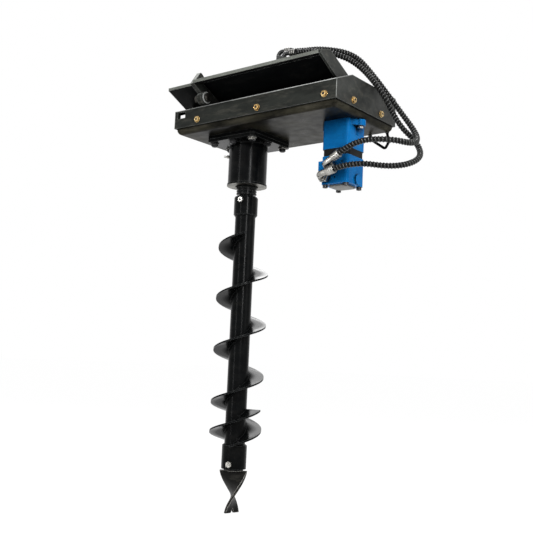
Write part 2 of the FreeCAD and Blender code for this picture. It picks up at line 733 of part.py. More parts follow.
def make_flange_bolts():
    side, radius, flats = size("FlangeBoltSide"), size("FlangeBoltRadius"), size("FlangeBoltFlats")
    under = -size("CaseHeight") - size("PadThick") - size("FlangeThick")
    floor = -size("CaseHeight") + size("TraySheet")
    spots = [(x * side, y * side) for x in (-1, 0, 1) for y in (-1, 0, 1) if x or y]
    bolts, nuts = [], []
    for x, y in spots:
        bolts.append(hex_bolt(flats, 8, radius, floor - under + 14, Vector(x, y, under), Z * -1))
        nuts.append(hexagon(flats, 10, Vector(x, y, floor), Z).cut(rod(radius, 12, Vector(x, y, floor), Z)))
    node(group("flange_bolt_group", bolts), "flange_bolts")
    node(group("flange_nut_group", nuts), "flange_nuts")


def make_nipple():
    way = Vector(-0.7826, -0.6225, 0)
    seat = way * size("BarrelRadius") - Z * size("NippleDrop")
    stem = rod(3, 8, seat - way * 8, way)
    nut = hexagon(9, 6, seat, way)
    neck = rod(2.5, 6, seat + way * 6, way)
    ball = Part.makeSphere(3.2, seat + way * 12)
    return node(made("nipple", stem.multiFuse([nut, neck, ball]).removeSplitter()), "grease_nipple")


def make_bearings():
    housing_top = -size("CaseHeight") - size("PadThick")
    barrel_end = housing_top - size("FlangeThick") - size("BarrelLength")
    tops = [housing_top - 2, barrel_end + size("LowerSeatDepth")]
    width, wall = size("BearingWidth"), size("BearingWall")
    outers, inners, rollers = [], [], []
    middle = (size("BearingBore") + size("BearingRadius") - 1) / 2.0
    for top in tops:
        low = Vector(0, 0, top - width)
        outer, bore = size("BearingRadius"), size("BearingBore")
        outers.append(rod(outer, width, low, Z).cut(rod(outer - wall, width, low, Z)))
        inners.append(rod(bore + wall - 1, width, low, Z).cut(rod(bore, width, low, Z)))
        for i in range(14):
            turn = 2 * math.pi * i / 14
            start = Vector(middle * math.cos(turn), middle * math.sin(turn), top - width + 1.5)
            rollers.append(rod(middle - bore - wall + 1 - size("RunningGap"), width - 3, start, Z))
    node(group("outer_rings", outers), "bearing_outer_rings")
    node(group("inner_rings", inners), "bearing_inner_rings")
    node(group("roller_set", rollers), "bearing_rollers")


def make_shaft():
    top, seat = "(-ShaftTop)", "(-ShaftTop - ThreadLength)"
    shaft = turned("shaft_body", [
        ("0", SPIGOT_END), ("ShaftSpigot", SPIGOT_END), ("ShaftSpigot", NECK_END), ("ShaftNeck", NECK_END),
        ("ShaftNeck", COLLAR_END), ("ShaftCollar", COLLAR_END), ("ShaftCollar", LOWER_SHOULDER),
        ("BearingBore", LOWER_SHOULDER), ("BearingBore", SPROCKET_SHOULDER),
        ("SprocketSeat", SPROCKET_SHOULDER), ("SprocketSeat", seat), ("ThreadRadius", seat),
        ("ThreadRadius", top), ("0", top)])
    keyway = block("shaft_keyway", "KeyHeight", "KeyWidth", "SprocketKeyLength",
                   "(SprocketSeat - KeyHeight / 2)", "(-KeyWidth / 2)", "(-CaseHeight + SprocketKeyRise)")
    bolt_way = math.radians(-75)
    hole = cylinder("shaft_hole", "HubBoltRadius", "2 * HubRadius", f"(-HubRadius * {math.cos(bolt_way)})",
                    f"(-HubRadius * {math.sin(bolt_way)})", f"({HUB_TOP} - HubBoltDrop)",
                    Rotation(Z, Vector(math.cos(bolt_way), math.sin(bolt_way), 0)))
    node(cut("shaft", shaft, [keyway, hole]), "output_shaft")
    key = block("key_block", "KeyHeight", "KeyWidth", "SprocketKeyLength", "(SprocketSeat - KeyHeight / 2)",
                "(-KeyWidth / 2)", "(-CaseHeight + SprocketKeyRise)")
    node(key, "sprocket_key")
    low = -size("ShaftTop") - size("ThreadLength")
    nut = hexagon(41, 10, Vector(0, 0, low), Z).cut(rod(size("ThreadRadius"), 12, Vector(0, 0, low), Z))
    node(made("locknut", nut), "shaft_locknut")


# Chain and sprockets
def toothed_disc(teeth, x):
    """A sprocket disc: a round seat for each roller, with a flat-topped tooth between."""
    pitch_r = pitch_radius(teeth)
    seat_r = size("RollerRadius") + size("HoleGap")
    tip_r = pitch_r + 0.26 * CHAIN_PITCH
    edges = []
    for i in range(teeth):
        turn = Rotation(Z, math.degrees(math.pi + 2 * math.pi * i / teeth))
        half = math.pi / teeth
        tip = Vector(tip_r * math.cos(half), tip_r * math.sin(half), 0) - Y * 1.6
        side = Vector(pitch_r - seat_r * 0.5, seat_r * 0.866, 0)
        bottom = Vector(pitch_r - seat_r, 0, 0)
        flip = Vector(tip.x, -tip.y, 0)
        edges.append(Part.LineSegment(turn.multVec(flip), turn.multVec(Vector(side.x, -side.y, 0))).toShape())
        edges.append(Part.Arc(turn.multVec(Vector(side.x, -side.y, 0)), turn.multVec(bottom),
                              turn.multVec(side)).toShape())
        edges.append(Part.LineSegment(turn.multVec(side), turn.multVec(tip)).toShape())
        forward = Rotation(Z, 2 * math.degrees(half)).multVec(flip)
        edges.append(Part.LineSegment(turn.multVec(tip), turn.multVec(forward)).toShape())
    face = Part.Face(Part.Wire(edges))
    thick = size("SprocketThick")
    disc = face.extrude(Vector(0, 0, thick))
    disc.translate(Vector(x, 0, -size("ChainLevel") - thick / 2.0))
    return disc


def make_sprockets():
    big = made("driven_disc", toothed_disc(DRIVEN_TEETH, 0))
    hub = cylinder("driven_hub", "DrivenHubRadius", "(CaseHeight + 4 - ShaftTop - ThreadLength)",
                   z=SPROCKET_SHOULDER)
    blank = fused("driven_blank", [big, hub])
    bore = cylinder("driven_bore", "SprocketSeat", "200", z="(-200)")
    keyway = block("driven_keyway", "KeyHeight + 0.1", "KeyWidth", "200", "(SprocketSeat - KeyHeight / 2)",
                   "(-KeyWidth / 2)", "(-200)")
    node(cut("driven", blank, [bore, keyway]), "driven_sprocket")
    small = made("driver_disc", toothed_disc(DRIVER_TEETH, size("CentreDistance")))
    hub = cylinder("driver_hub", "DriverHubRadius", "DriverHubLength", x="CentreDistance",
                   z="(-CaseHeight + DriverHubRise)")
    blank = fused("driver_blank", [small, hub])
    bore = cylinder("driver_bore", "MotorShaftRadius", "200", x="CentreDistance", z="(-200)")
    keyway = block("driver_keyway", "KeyHeight + 0.1", "KeyWidth", "200",
                   "(CentreDistance + MotorShaftRadius - KeyHeight / 2)", "(-KeyWidth / 2)", "(-200)")
    node(cut("driver", blank, [bore, keyway]), "driver_sprocket")
    key = block("motor_key_block", "KeyHeight", "KeyWidth", "MotorKeyLength",
                "(CentreDistance + MotorShaftRadius - KeyHeight / 2)", "(-KeyWidth / 2)",
                "(-CaseHeight + MotorKeyRise)")
    node(key, "motor_key")
    shaft = cylinder("motor_shaft_rod", "MotorShaftRadius", "MotorShaftDepth + CaseHeight - MotorShaftTop",
                     x="CentreDistance", z="(-CaseHeight - MotorShaftDepth)")
    keyway = block("motor_keyway", "KeyHeight", "KeyWidth", "MotorKeyLength",
                   "(CentreDistance + MotorShaftRadius - KeyHeight / 2)", "(-KeyWidth / 2)",
                   "(-CaseHeight + MotorKeyRise)")
    hole = cylinder("motor_shaft_hole", "4", "MotorShaftHole", x="CentreDistance",
                    z="(-MotorShaftTop - MotorShaftHole)")
    node(cut("motor_shaft_solid", shaft, [keyway, hole]), "motor_shaft")
    top = Vector(size("CentreDistance"), 0, -size("ChainLevel") + size("SprocketThick") / 2.0)
    washer = rod(17, 3, top, Z)
    screw = washer.fuse(hexagon(13, 5, top + Z * 3, Z)).fuse(rod(4, 18, top - Z * 18, Z)).removeSplitter()
    node(made("end_screw", screw), "driver_end_screw")


def chain_places():
    """The roller centres round the chain, starting on the driven sprocket away from the motor."""
    big, small, reach = pitch_radius(DRIVEN_TEETH), pitch_radius(DRIVER_TEETH), size("CentreDistance")
    upper = []
    for k in range(ON_DRIVEN + 1):
        turn = math.pi - 2 * math.pi * k / DRIVEN_TEETH
        upper.append(Vector(big * math.cos(turn), big * math.sin(turn), 0))
    last = upper[-1]
    turn = 2 * math.pi * ON_DRIVER / DRIVER_TEETH
    first = Vector(reach + small * math.cos(turn), small * math.sin(turn), 0)
    for i in range(1, ON_STRAND):
        upper.append(last + (first - last) * (float(i) / ON_STRAND))
    for j in range(ON_DRIVER, -1, -1):
        turn = 2 * math.pi * j / DRIVER_TEETH
        upper.append(Vector(reach + small * math.cos(turn), small * math.sin(turn), 0))
    lower = [Vector(place.x, -place.y, 0) for place in upper[-2:0:-1]]
    return upper + lower


def link_plate(start, end, level, thick):
    """A waisted link plate drawn as a long hexagon round two roller centres."""
    along = (end - start).normalize()
    across = Vector(-along.y, along.x, 0)
    half = size("LinkPlateHeight") / 2.0
    corners = [start - along * half, start - along * 4 + across * half, end + along * 4 + across * half,
               end + along * half, end + along * 4 - across * half, start - along * 4 - across * half]
    corners = [corner + Z * level for corner in corners]
    return Part.Face(Part.makePolygon(corners + corners[:1])).extrude(Vector(0, 0, thick))


def make_chain():
    places = chain_places()
    level, width, thick = -size("ChainLevel"), size("RollerWidth"), size("LinkPlate")
    rollers = [rod(size("RollerRadius"), width, place + Z * (level - width / 2.0), Z) for place in places]
    inner, outer = [], []
    for i, start in enumerate(places):
        end = places[(i + 1) % len(places)]
        away = width / 2.0 + (0 if i % 2 else thick + 0.3)
        pair = [link_plate(start, end, level + away, thick),
                link_plate(start, end, level - away - thick, thick)]
        if i % 2:
            inner += pair
        else:
            outer += pair
    node(group("roller_chain", rollers), "chain_rollers")
    node(group("inner_links", inner), "chain_inner_plates")
    node(group("outer_links", outer), "chain_outer_plates")


# The hydraulic motor
def motor_body(label):
    return new_body(label, x="CentreDistance")


def make_motor():
    side, half = "MotorSize", "(MotorSize / 2)"
    bolts = [("MotorBoltReach", "0"), ("(-MotorBoltReach)", "0")]
    body = motor_body("motor_housing_body")
    square_on(body, MOTOR_BODY_END, side, "(MotorBodyDrop + MotorFlangeThick)", "MotorCorner")
    sketch = sketch_on(body, "XY_Plane", f"({MOTOR_FLANGE_UNDER} - 24)")
    for across, along in bolts:
        circle(sketch, across, along, "(MotorBoltRadius + 7.5)")
    pocket(body, sketch, "24", forward=True)
    for across, along in bolts:
        sketch = sketch_on(body, "XY_Plane", MOTOR_FLANGE_UNDER)
        circle(sketch, across, along, "MotorEarRadius")
        pad(body, sketch, "MotorFlangeThick")
    sketch = sketch_on(body, "XY_Plane", MOTOR_FLANGE_UNDER)
    root = f"({half} - 12)"
    outline(sketch, [(root, f"(-{half})"), ("(MotorBoltReach + 4)", "(2 - MotorEarRadius)"),
                     ("(MotorBoltReach + 4)", "(MotorEarRadius - 2)"), (root, half), (f"(-{root})", half),
                     ("(-MotorBoltReach - 4)", "(MotorEarRadius - 2)"),
                     ("(-MotorBoltReach - 4)", "(2 - MotorEarRadius)"), (f"(-{root})", f"(-{half})")])
    pad(body, sketch, "MotorFlangeThick")
    sketch = sketch_on(body, "XY_Plane", CASE_UNDER)
    circle(sketch, "0", "0", "MotorPilot")
    pad(body, sketch, "MotorPilotHeight")
    sketch = sketch_on(body, "XY_Plane", f"({CASE_UNDER} + MotorPilotHeight)")
    circle(sketch, "0", "0", "(MotorShaftRadius + RunningGap)")
    pocket(body, sketch, "(MotorPilotHeight + MotorShaftDepth + 1)")
    sketch = sketch_on(body, "XY_Plane", CASE_UNDER)
    for across, along in bolts:
        circle(sketch, across, along, "(MotorBoltRadius + HoleGap)")
    pocket(body, sketch, "MotorFlangeThick")
    node(body, "motor_housing")
    body = motor_body("rotor_ring_body")
    square_on(body, ROTOR_RING_END, "(MotorSize - 2)", "RotorRingThick", "(MotorCorner + 4)")
    node(body, "motor_gerotor")
    body = motor_body("port_block_body")
    square_on(body, PORT_BLOCK_END, side, "PortBlockHeight", "MotorCorner")
    sketch = sketch_on(body, "XY_Plane", f"({ROTOR_RING_END} - 38)")
    rectangle(sketch, f"(-{half} - 9)", f"(-{half})", f"(-{half} + 12)", f"(-{half} + 26)")
    pad(body, sketch, "26")
    sketch = sketch_on(body, "YZ_Plane", half)
    circle(sketch, "8", f"({ROTOR_RING_END} - LowerPortDrop - 3)", "13.6")
    pad(body, sketch, "5")
    sketch = sketch_on(body, "XZ_Plane", half)
    circle(sketch, "UpperPortX", f"({ROTOR_RING_END} - UpperPortDrop)", "PortRadius")
    circle(sketch, "LowerPortX", f"({ROTOR_RING_END} - LowerPortDrop)", "PortRadius")
    pocket(body, sketch, "16")
    sketch = sketch_on(body, "XZ_Plane", half)
    circle(sketch, f"(-{half} + 3)", f"({ROTOR_RING_END} - 19.6)", "2.5")
    circle(sketch, f"({half} - 18.4)", f"({ROTOR_RING_END} - 19.6)", "2.5")
    circle(sketch, "2.8", f"({ROTOR_RING_END} - LowerPortDrop - 1)", "2.5")
    pocket(body, sketch, "9")
    sketch = sketch_on(body, "XY_Plane", PORT_BLOCK_END)
    for across in ("CapScrewSide", "(-CapScrewSide)"):
        for along in ("CapScrewSide", "(-CapScrewSide)"):
            circle(sketch, across, along, "4.2")
    pocket(body, sketch, "9", forward=True)
    node(body, "motor_port_block")
    body = motor_body("end_cap_body")
    square_on(body, f"({PORT_BLOCK_END} - EndCapThick)", "EndCapSize", "EndCapThick", "(MotorCorner + 2)")
    node(body, "motor_end_cap")
    reach = size("CentreDistance")
    base = -(size("CaseHeight") + size("MotorFlangeThick") + size("MotorBodyDrop") + size("RotorRingThick")
             + size("PortBlockHeight"))
    caps = [cap_screw(4, Vector(reach + x, y, base), Z * -1, 7, 8, 8)
            for x, y in corner_places(size("CapScrewSide"))]
    node(group("cap_screw_set", caps), "motor_cap_screws")
    seat = -size("CaseHeight") - size("MotorFlangeThick")
    radius = size("MotorBoltRadius")
    length = size("MotorFlangeThick") + size("TraySheet")
    places = [reach - size("MotorBoltReach"), reach + size("MotorBoltReach")]
    flats = size("MotorBoltFlats")
    mounts = [hex_bolt(flats, 7, radius, length + 11, Vector(x, 0, seat), Z * -1) for x in places]
    node(group("motor_bolt_set", mounts), "motor_bolts")
    floor = -size("CaseHeight") + size("TraySheet")
    seats = [Vector(x, 0, floor) for x in places]
    nuts = [hexagon(flats, 8, spot, Z).cut(rod(radius, 9, spot, Z)) for spot in seats]
    node(group("motor_nut_set", nuts), "motor_nuts")


# Ports, hoses and couplers
def port_start(name):
    top = size("CaseHeight") + size("MotorFlangeThick") + size("MotorBodyDrop") + size("RotorRingThick")
    return Vector(size("CentreDistance") + size(name + "PortX"), -size("MotorSize") / 2.0,
                  -top - size(name + "PortDrop"))


def make_port(name, rise):
    """A hex adapter in the port and an elbow that turns from it along the hose."""
    seat = port_start(name)
    out = Y * -1
    adapter = hexagon(size("FittingNut"), 14, seat, out).fuse(rod(size("PortRadius"), 12, seat, Y))
    node(made(name + "_adapter", adapter.removeSplitter()), "port_adapter_" + name.lower())
    start = seat + out * 14
    corner = start + out * (size("FittingReach") - 11)
    way = Vector(math.cos(math.radians(rise)), 0, math.sin(math.radians(rise)))
    end = corner + way * 30
    pipe = swept_tube([start, corner, end], 8.5, 14)[0]
    nut = hexagon(22, 8, start, out)
    ferrule = rod(11.5, 24, end, way)
    elbow = pipe.multiFuse([nut, ferrule]).removeSplitter()
    node(made(name + "_elbow", elbow), "port_elbow_" + name.lower())
    return end + way * 24, way


def make_coupler(name, rise, turn_up):
    """A flat-face coupler standing in the bracket, with an elbow on top that turns to the hose."""
    low = Vector(size(f"Coupler{name}X"), size(f"Coupler{name}Y"), size("CouplerLevel"))
    radius, length = size("CouplerRadius"), size("CouplerLength")
    top = low + Z * length
    corner = top + Z * rise
    way = Vector(math.cos(math.radians(turn_up)), 0, math.sin(math.radians(turn_up)))
    end = corner + way * 26
    flange_level = size("BracketHeight") - size("CouplerLevel")
    body = rod(radius, length, low, Z)
    collar = rod(radius + 4, 8, low + Z * flange_level, Z)
    sleeve = rod(radius + 2, 22, low + Z * (length - 34), Z)
    bore = rod(6, length - 20, low, Z)
    coupler = body.multiFuse([collar, sleeve]).cut(bore).removeSplitter()
    node(made(name + "_coupler", coupler), "quick_coupler_" + name.lower())
    pipe = swept_tube([top, corner, end], 6.5, min(14.0, rise * 0.9))[0]
    nut = hexagon(24, 9, top, Z)
    ferrule = rod(9.8, 22, end, way)
    elbow = pipe.multiFuse([nut, ferrule]).removeSplitter()
    node(made(name + "_coupler_elbow", elbow), "hose_elbow_" + name.lower())
    return end + way * 22, way


def make_hose(label, points):
    tube, bends, length = swept_tube(points, size("HoseRadius"))
    node(made(label + "_tube", tube), label)
    print(label, "length", round(length, 1), "arc radii", bends)


def beside(reach, across, level):
    """A point measured from the case's end by the motor."""
    return Vector(size("CaseRight") + reach, across, level)


def make_hoses():
    upper_end, upper_way = make_port("Upper", 29)
    lower_end, lower_way = make_port("Lower", 12)
    near_end, near_way = make_coupler("Near", 20, -6)
    far_end, far_way = make_coupler("Far", 50, -10)
    make_hose("hose_upper", [
        upper_end, upper_end + upper_way * 58, beside(104, -60, -182), beside(138, 18, -183),
        beside(110, 81, -139), beside(54, 73, -60), beside(-8, 34, 39), beside(-71, 32, 110),
        beside(-161, 5, 134), far_end + far_way * 40, far_end])
    make_hose("hose_lower", [
        lower_end, lower_end + lower_way * 58, beside(101, -18, -248), beside(132, 66, -211),
        beside(98, 105, -153), beside(52, 75, -102), beside(45, 6, -34), beside(-34, 14, 61),
        beside(-97, -5, 101), near_end + near_way * 42, near_end])


def make_bracket():
    body = new_body("bracket_body")
    sketch = sketch_on(body, "YZ_Plane", "(CouplerFarX - BracketMargin)")
    near, far = "(CouplerNearY - BracketMargin)", "(CouplerFarY + BracketMargin)"
    shelf = "(BracketHeight - BracketSheet)"
    outline(sketch, [(near, "0"), (f"({near} + BracketSheet)", "0"), (f"({near} + BracketSheet)", shelf),
                     (f"({far} - BracketSheet)", shelf), (f"({far} - BracketSheet)", "0"), (far, "0"),
                     (far, "BracketHeight"), (near, "BracketHeight")])
    pad(body, sketch, "(CouplerNearX - CouplerFarX + 2 * BracketMargin)")
    sketch = sketch_on(body, "XY_Plane", "BracketHeight")
    circle(sketch, "CouplerNearX", "CouplerNearY", "(CouplerRadius + HoleGap)")
    circle(sketch, "CouplerFarX", "CouplerFarY", "(CouplerRadius + HoleGap)")
    pocket(body, sketch, "BracketSheet")
    node(body, "coupler_bracket")


def make_guide():
    under, right = -size("CaseHeight"), size("CaseRight")
    back = size("CaseWidth") / 2.0 - 15.0
    points = [Vector(right - 73, back, under), Vector(right - 71, back, under - 12),
              Vector(right - 22, back, under - 46), Vector(right - 11, back, under - 28),
              Vector(right - 17, back, under)]
    node(made("guide_rod", swept_tube(points, 4.0, 6.0)[0]), "hose_guide")


# The auger
def make_hub():
    blank = turned("hub_body", [
        ("(ShaftSpigot)", "HubEnd"), ("(HubRadius - 2)", "HubEnd"), ("HubRadius", "(HubEnd + 2)"),
        ("HubRadius", f"({HUB_TOP} - 5)"), ("(HubRadius - 1.5)", f"({HUB_TOP} - 1.5)"),
        ("(HubRadius - 5)", HUB_TOP), ("(ShaftSpigot)", HUB_TOP)])
    way = Vector(math.cos(math.radians(-75)), math.sin(math.radians(-75)), 0)
    hole = cylinder("hub_hole", "HubBoltRadius", "3 * HubRadius", f"(-1.5 * HubRadius * {way.x})",
                    f"(-1.5 * HubRadius * {way.y})", f"({HUB_TOP} - HubBoltDrop)", Rotation(Z, way))
    node(cut("hub", blank, [hole]), "auger_hub")
    level = size("HubEnd") + size("HubLength") - size("HubBoltDrop")
    seat = way * size("HubRadius") + Z * level
    far = way * -size("HubRadius") + Z * level
    radius = size("HubBoltRadius")
    bolt = cap_screw(radius, seat, way, 9, 7, 2 * size("HubRadius") + 12)
    nut = hexagon(19, 9, far, way * -1)
    node(made("hub_cross_bolt", bolt.fuse(nut).removeSplitter()), "hub_bolt")
    tube = turned("tube_body", ring_profile("(TubeRadius - TubeWall)", "TubeRadius", "TubeEnd", "HubEnd"))
    node(tube, "auger_tube")


def flight_turn(start_turn, start_level, height):
    """A helical flight whose middle starts at the given angle and height and climbs with the turn."""
    inner, outer, thick = size("TubeRadius") + 0.02, size("FlightRadius"), size("FlightThick") / 2.0
    helix = Part.makeHelix(size("FlightPitch"), height, inner)
    section = Part.makePolygon([Vector(inner, 0, -thick), Vector(outer, 0, -thick), Vector(outer, 0, thick),
                                Vector(inner, 0, thick), Vector(inner, 0, -thick)])
    flight = Part.Wire(helix.Edges).makePipeShell([section], True, True)
    flight.Placement = Placement(Vector(0, 0, start_level), Rotation(Z, start_turn))
    return flight


def make_flights():
    """Four turns of the main flight, top turn first, and the lead flight beside the last one."""
    low = size("TubeEnd") + size("FlightThick") / 2.0
    height = size("FlightHeight")
    for i in range(4):
        rise = (3 - i) * height
        turn = size("FlightFoot") + rise * 360.0 / size("FlightPitch")
        node(made(f"turn_{i + 1}", flight_turn(turn, low + rise, height)), f"flight_{i + 1}")
    node(made("lead_turn", flight_turn(size("LeadFoot"), low, size("LeadFlightHeight"))), "lead_flight")


def make_bit():
    collar = turned("bit_collar_body", ring_profile("BitShank", "CollarRadius", COLLAR_BASE, "TubeEnd"))
    tube_end = size("TubeEnd")
    base = tube_end - size("BitCollarLength")
    level = tube_end - 52.0
    way = Vector(math.cos(math.radians(-71)), math.sin(math.radians(-71)), 0)
    hole = cylinder("collar_hole", "BitBoltRadius", "3 * CollarRadius", f"(-1.5 * CollarRadius * {way.x})",
                    f"(-1.5 * CollarRadius * {way.y})", "(TubeEnd - 52)", Rotation(Z, way))
    node(cut("collar", collar, [hole]), "bit_collar")
    collar_radius, radius = size("CollarRadius"), size("BitBoltRadius")
    bolt = hex_bolt(16, 7, radius, 2 * collar_radius + 9, way * collar_radius + Z * level, way)
    nut = hexagon(16, 8, way * -collar_radius + Z * level, way * -1)
    node(made("bit_cross_bolt", bolt.fuse(nut).removeSplitter()), "bit_bolt")
    shank = rod(size("BitShank"), 56.5, Vector(0, 0, base), Z)
    top = base - size("BitNeckHeight")
    neck = rod(size("BitNeck"), size("BitNeckHeight"), Vector(0, 0, top), Z)
    thick, drop = size("BladeThick") / 2.0, size("BladeHeight")
    sections = []
    for i in range(12):
        part = i / 11.0
        wide = (size("BladeWidth") + part * (size("BladeTipWidth") - size("BladeWidth"))) / 2.0
        thin = thick * (1.0 - 0.4 * part)
        turn = Rotation(Z, -size("BladeTwist") * part)
        corners = [Vector(wide, -thin, 0), Vector(wide, thin, 0),
                   Vector(-wide, thin, 0), Vector(-wide, -thin, 0)]
        corners = [turn.multVec(corner) + Z * (top - part * drop) for corner in corners]
        sections.append(Part.makePolygon(corners + corners[:1]))
    blade = Part.makeLoft(sections, True, False)
    tip = top - drop
    gap = size("NotchWidth") / 2.0
    notch = Part.Face(Part.makePolygon([Vector(-gap, -40, tip - 1), Vector(gap, -40, tip - 1),
                                        Vector(0, -40, tip + size("NotchRise")),
                                        Vector(-gap, -40, tip - 1)])).extrude(Vector(0, 80, 0))
    notch.rotate(Vector(), Z, -size("BladeTwist"))
    bit = shank.multiFuse([neck, blade]).cut(notch)
    bit.rotate(Vector(), Z, size("BladeTurn"))
    solid = made("bit_blank", bit)
    node(cut("bit", solid, [hole]), "pilot_bit")


make_tray()
make_cover()
make_cover_bolts()
make_hitch_plate()
make_gussets()
make_lock()
make_pad()
make_housing()
make_flange_bolts()
make_nipple()
make_bearings()
make_shaft()
make_sprockets()
make_chain()
make_motor()
make_hoses()
make_bracket()
make_guide()
make_hub()
make_flights()
make_bit()
document.recompute()

os.makedirs("parts", exist_ok=True)
for item in document.Objects:
    if "Invalid" in item.State or "Error" in item.State:
        raise RuntimeError(f"{item.Label} did not compute: {item.State}")
for item in nodes:
    if item.Shape.isNull() or not item.Shape.isValid():
        raise RuntimeError(f"{item.Label} has no valid shape")
    item.Shape.exportStep(f"parts/{item.Label}.step")
print(len(nodes), "pieces")
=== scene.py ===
"""Looks for the chain-drive earth auger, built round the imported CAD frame."""
import math

import bmesh
import bpy
from mathutils import Matrix, Vector


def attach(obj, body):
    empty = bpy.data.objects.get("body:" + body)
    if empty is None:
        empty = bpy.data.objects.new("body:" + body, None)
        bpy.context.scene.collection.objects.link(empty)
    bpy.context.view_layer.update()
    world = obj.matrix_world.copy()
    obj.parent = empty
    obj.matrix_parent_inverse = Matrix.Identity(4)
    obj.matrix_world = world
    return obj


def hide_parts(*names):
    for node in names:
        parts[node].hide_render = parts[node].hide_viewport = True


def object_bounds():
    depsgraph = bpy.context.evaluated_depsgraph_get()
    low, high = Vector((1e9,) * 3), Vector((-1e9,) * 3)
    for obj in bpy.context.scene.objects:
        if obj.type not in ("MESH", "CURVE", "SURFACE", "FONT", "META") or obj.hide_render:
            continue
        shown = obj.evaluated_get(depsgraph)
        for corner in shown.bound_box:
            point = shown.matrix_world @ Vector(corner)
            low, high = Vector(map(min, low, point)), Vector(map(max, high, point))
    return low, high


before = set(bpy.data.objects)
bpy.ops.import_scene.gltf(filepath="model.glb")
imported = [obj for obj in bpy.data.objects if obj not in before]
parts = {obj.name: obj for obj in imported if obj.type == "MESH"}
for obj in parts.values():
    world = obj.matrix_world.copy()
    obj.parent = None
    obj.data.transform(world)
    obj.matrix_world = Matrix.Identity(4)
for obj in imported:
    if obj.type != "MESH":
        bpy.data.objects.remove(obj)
cad_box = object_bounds()

# Camera: fitted to the photograph, looking slightly up at the part from beyond the motor's end
CAMERA_AT = Vector((1.535, -1.8212, -0.7528))
AHEAD = Vector((-0.6180, 0.7779, 0.1136)).normalized()
ROLL = math.radians(2.53)
SENSOR_MM = 36.0
LENS_MM = 54.9
level_right = Vector((0.783, 0.622, 0.0)).normalized()
level_up = level_right.cross(AHEAD).normalized()
right = math.cos(ROLL) * level_right + math.sin(ROLL) * level_up
up = -math.sin(ROLL) * level_right + math.cos(ROLL) * level_up
lens = bpy.data.cameras.new("camera")
lens.sensor_width = SENSOR_MM
lens.lens = LENS_MM
camera = bpy.data.objects.new("camera", lens)
camera.matrix_world = Matrix.Translation(CAMERA_AT) @ Matrix((right, up, -AHEAD)).transposed().to_4x4()
bpy.context.scene.collection.objects.link(camera)
bpy.context.scene.camera = camera


# Materials
EDGE_RADIUS = 0.0016
WIDE_EDGE_RADIUS = 0.003
EDGE_LOW, EDGE_HIGH = 0.90, 0.985
DUST = (0.13, 0.12, 0.10)
# A painted highlight along the round of the cover's fold, and the way that round faces
FOLD_HIGHLIGHT = (0.34, 0.35, 0.33)
CASE_FOLD_WAY = (0, -0.75, 0.66)
WHITE = (1.0, 1.0, 1.0)
BLACK = (0.0, 0.0, 0.0)


def tree_of(name):
    """A new material with its node tree and its shader."""
    material = bpy.data.materials.new(name)
    material.use_nodes = True
    return material, material.node_tree, material.node_tree.nodes["Principled BSDF"]


def new_node(tree, kind, **values):
    """A new node with its fields set."""
    item = tree.nodes.new(kind)
    for field, value in values.items():
        setattr(item, field, value)
    return item


def noise(tree, scale, detail=4.0, rough=0.55, stretch=(1, 1, 1)):
    """A noise pattern fixed to the part, with its own stretch along each axis."""
    place = new_node(tree, "ShaderNodeTexCoord")
    mapping = new_node(tree, "ShaderNodeMapping")
    mapping.inputs["Scale"].default_value = stretch
    tree.links.new(place.outputs["Object"], mapping.inputs["Vector"])
    texture = new_node(tree, "ShaderNodeTexNoise")
    texture.inputs["Scale"].default_value = scale
    texture.inputs["Detail"].default_value = detail
    texture.inputs["Roughness"].default_value = rough
    tree.links.new(mapping.outputs["Vector"], texture.inputs["Vector"])
    return texture.outputs["Fac"]


def ramp(tree, source, stops):
    """A colour that runs through the stops, each a place from 0 to 1 and a colour."""
    item = new_node(tree, "ShaderNodeValToRGB")
    ends = item.color_ramp.elements
    while len(ends) < len(stops):
        ends.new(0.5)
    for end, (place, colour) in zip(ends, stops):
        end.position = place
        end.color = (*colour, 1.0)
    tree.links.new(source, item.inputs["Fac"])
    return item.outputs["Color"]


def grey(value):
    """A grey of one value."""
    return (value, value, value)


def colour_input(item, name):
    """The colour socket of a Mix node, which has sockets of other types by the same name."""
    return next(socket for socket in item.inputs if socket.name == name and socket.type == "RGBA")


def colour_output(item):
    """The colour result of a Mix node."""
    return next(socket for socket in item.outputs if socket.type == "RGBA")


def alignment(tree, normal, other):
    """How far a normal points the way of another: a socket, or a fixed direction."""
    dot = new_node(tree, "ShaderNodeVectorMath", operation="DOT_PRODUCT")
    tree.links.new(normal, dot.inputs[0])
    if isinstance(other, Vector):
        dot.inputs[1].default_value = other
    else:
        tree.links.new(other, dot.inputs[1])
    return dot.outputs["Value"]


def rounded(tree, radius=EDGE_RADIUS):
    """The surface's normal as it would be with rounded edges."""
    bevel = new_node(tree, "ShaderNodeBevel", samples=4)
    bevel.inputs["Radius"].default_value = radius
    return bevel.outputs["Normal"]


def edge_mask(tree, normal):
    """White on edges and black on flats, where the rounded normal leaves the surface's own."""
    geometry = new_node(tree, "ShaderNodeNewGeometry")
    same = alignment(tree, normal, geometry.outputs["Normal"])
    return ramp(tree, same, [(EDGE_LOW, WHITE), (EDGE_HIGH, BLACK)])


def mixed(tree, mask, base, over):
    """The base colour where the mask is black, and the other where it is white."""
    item = new_node(tree, "ShaderNodeMix", data_type="RGBA")
    tree.links.new(mask, item.inputs["Factor"])
    for socket, value in (("A", base), ("B", over)):
        target = colour_input(item, socket)
        if isinstance(value, tuple):
            target.default_value = (*value, 1.0)
        else:
            tree.links.new(value, target)
    return colour_output(item)


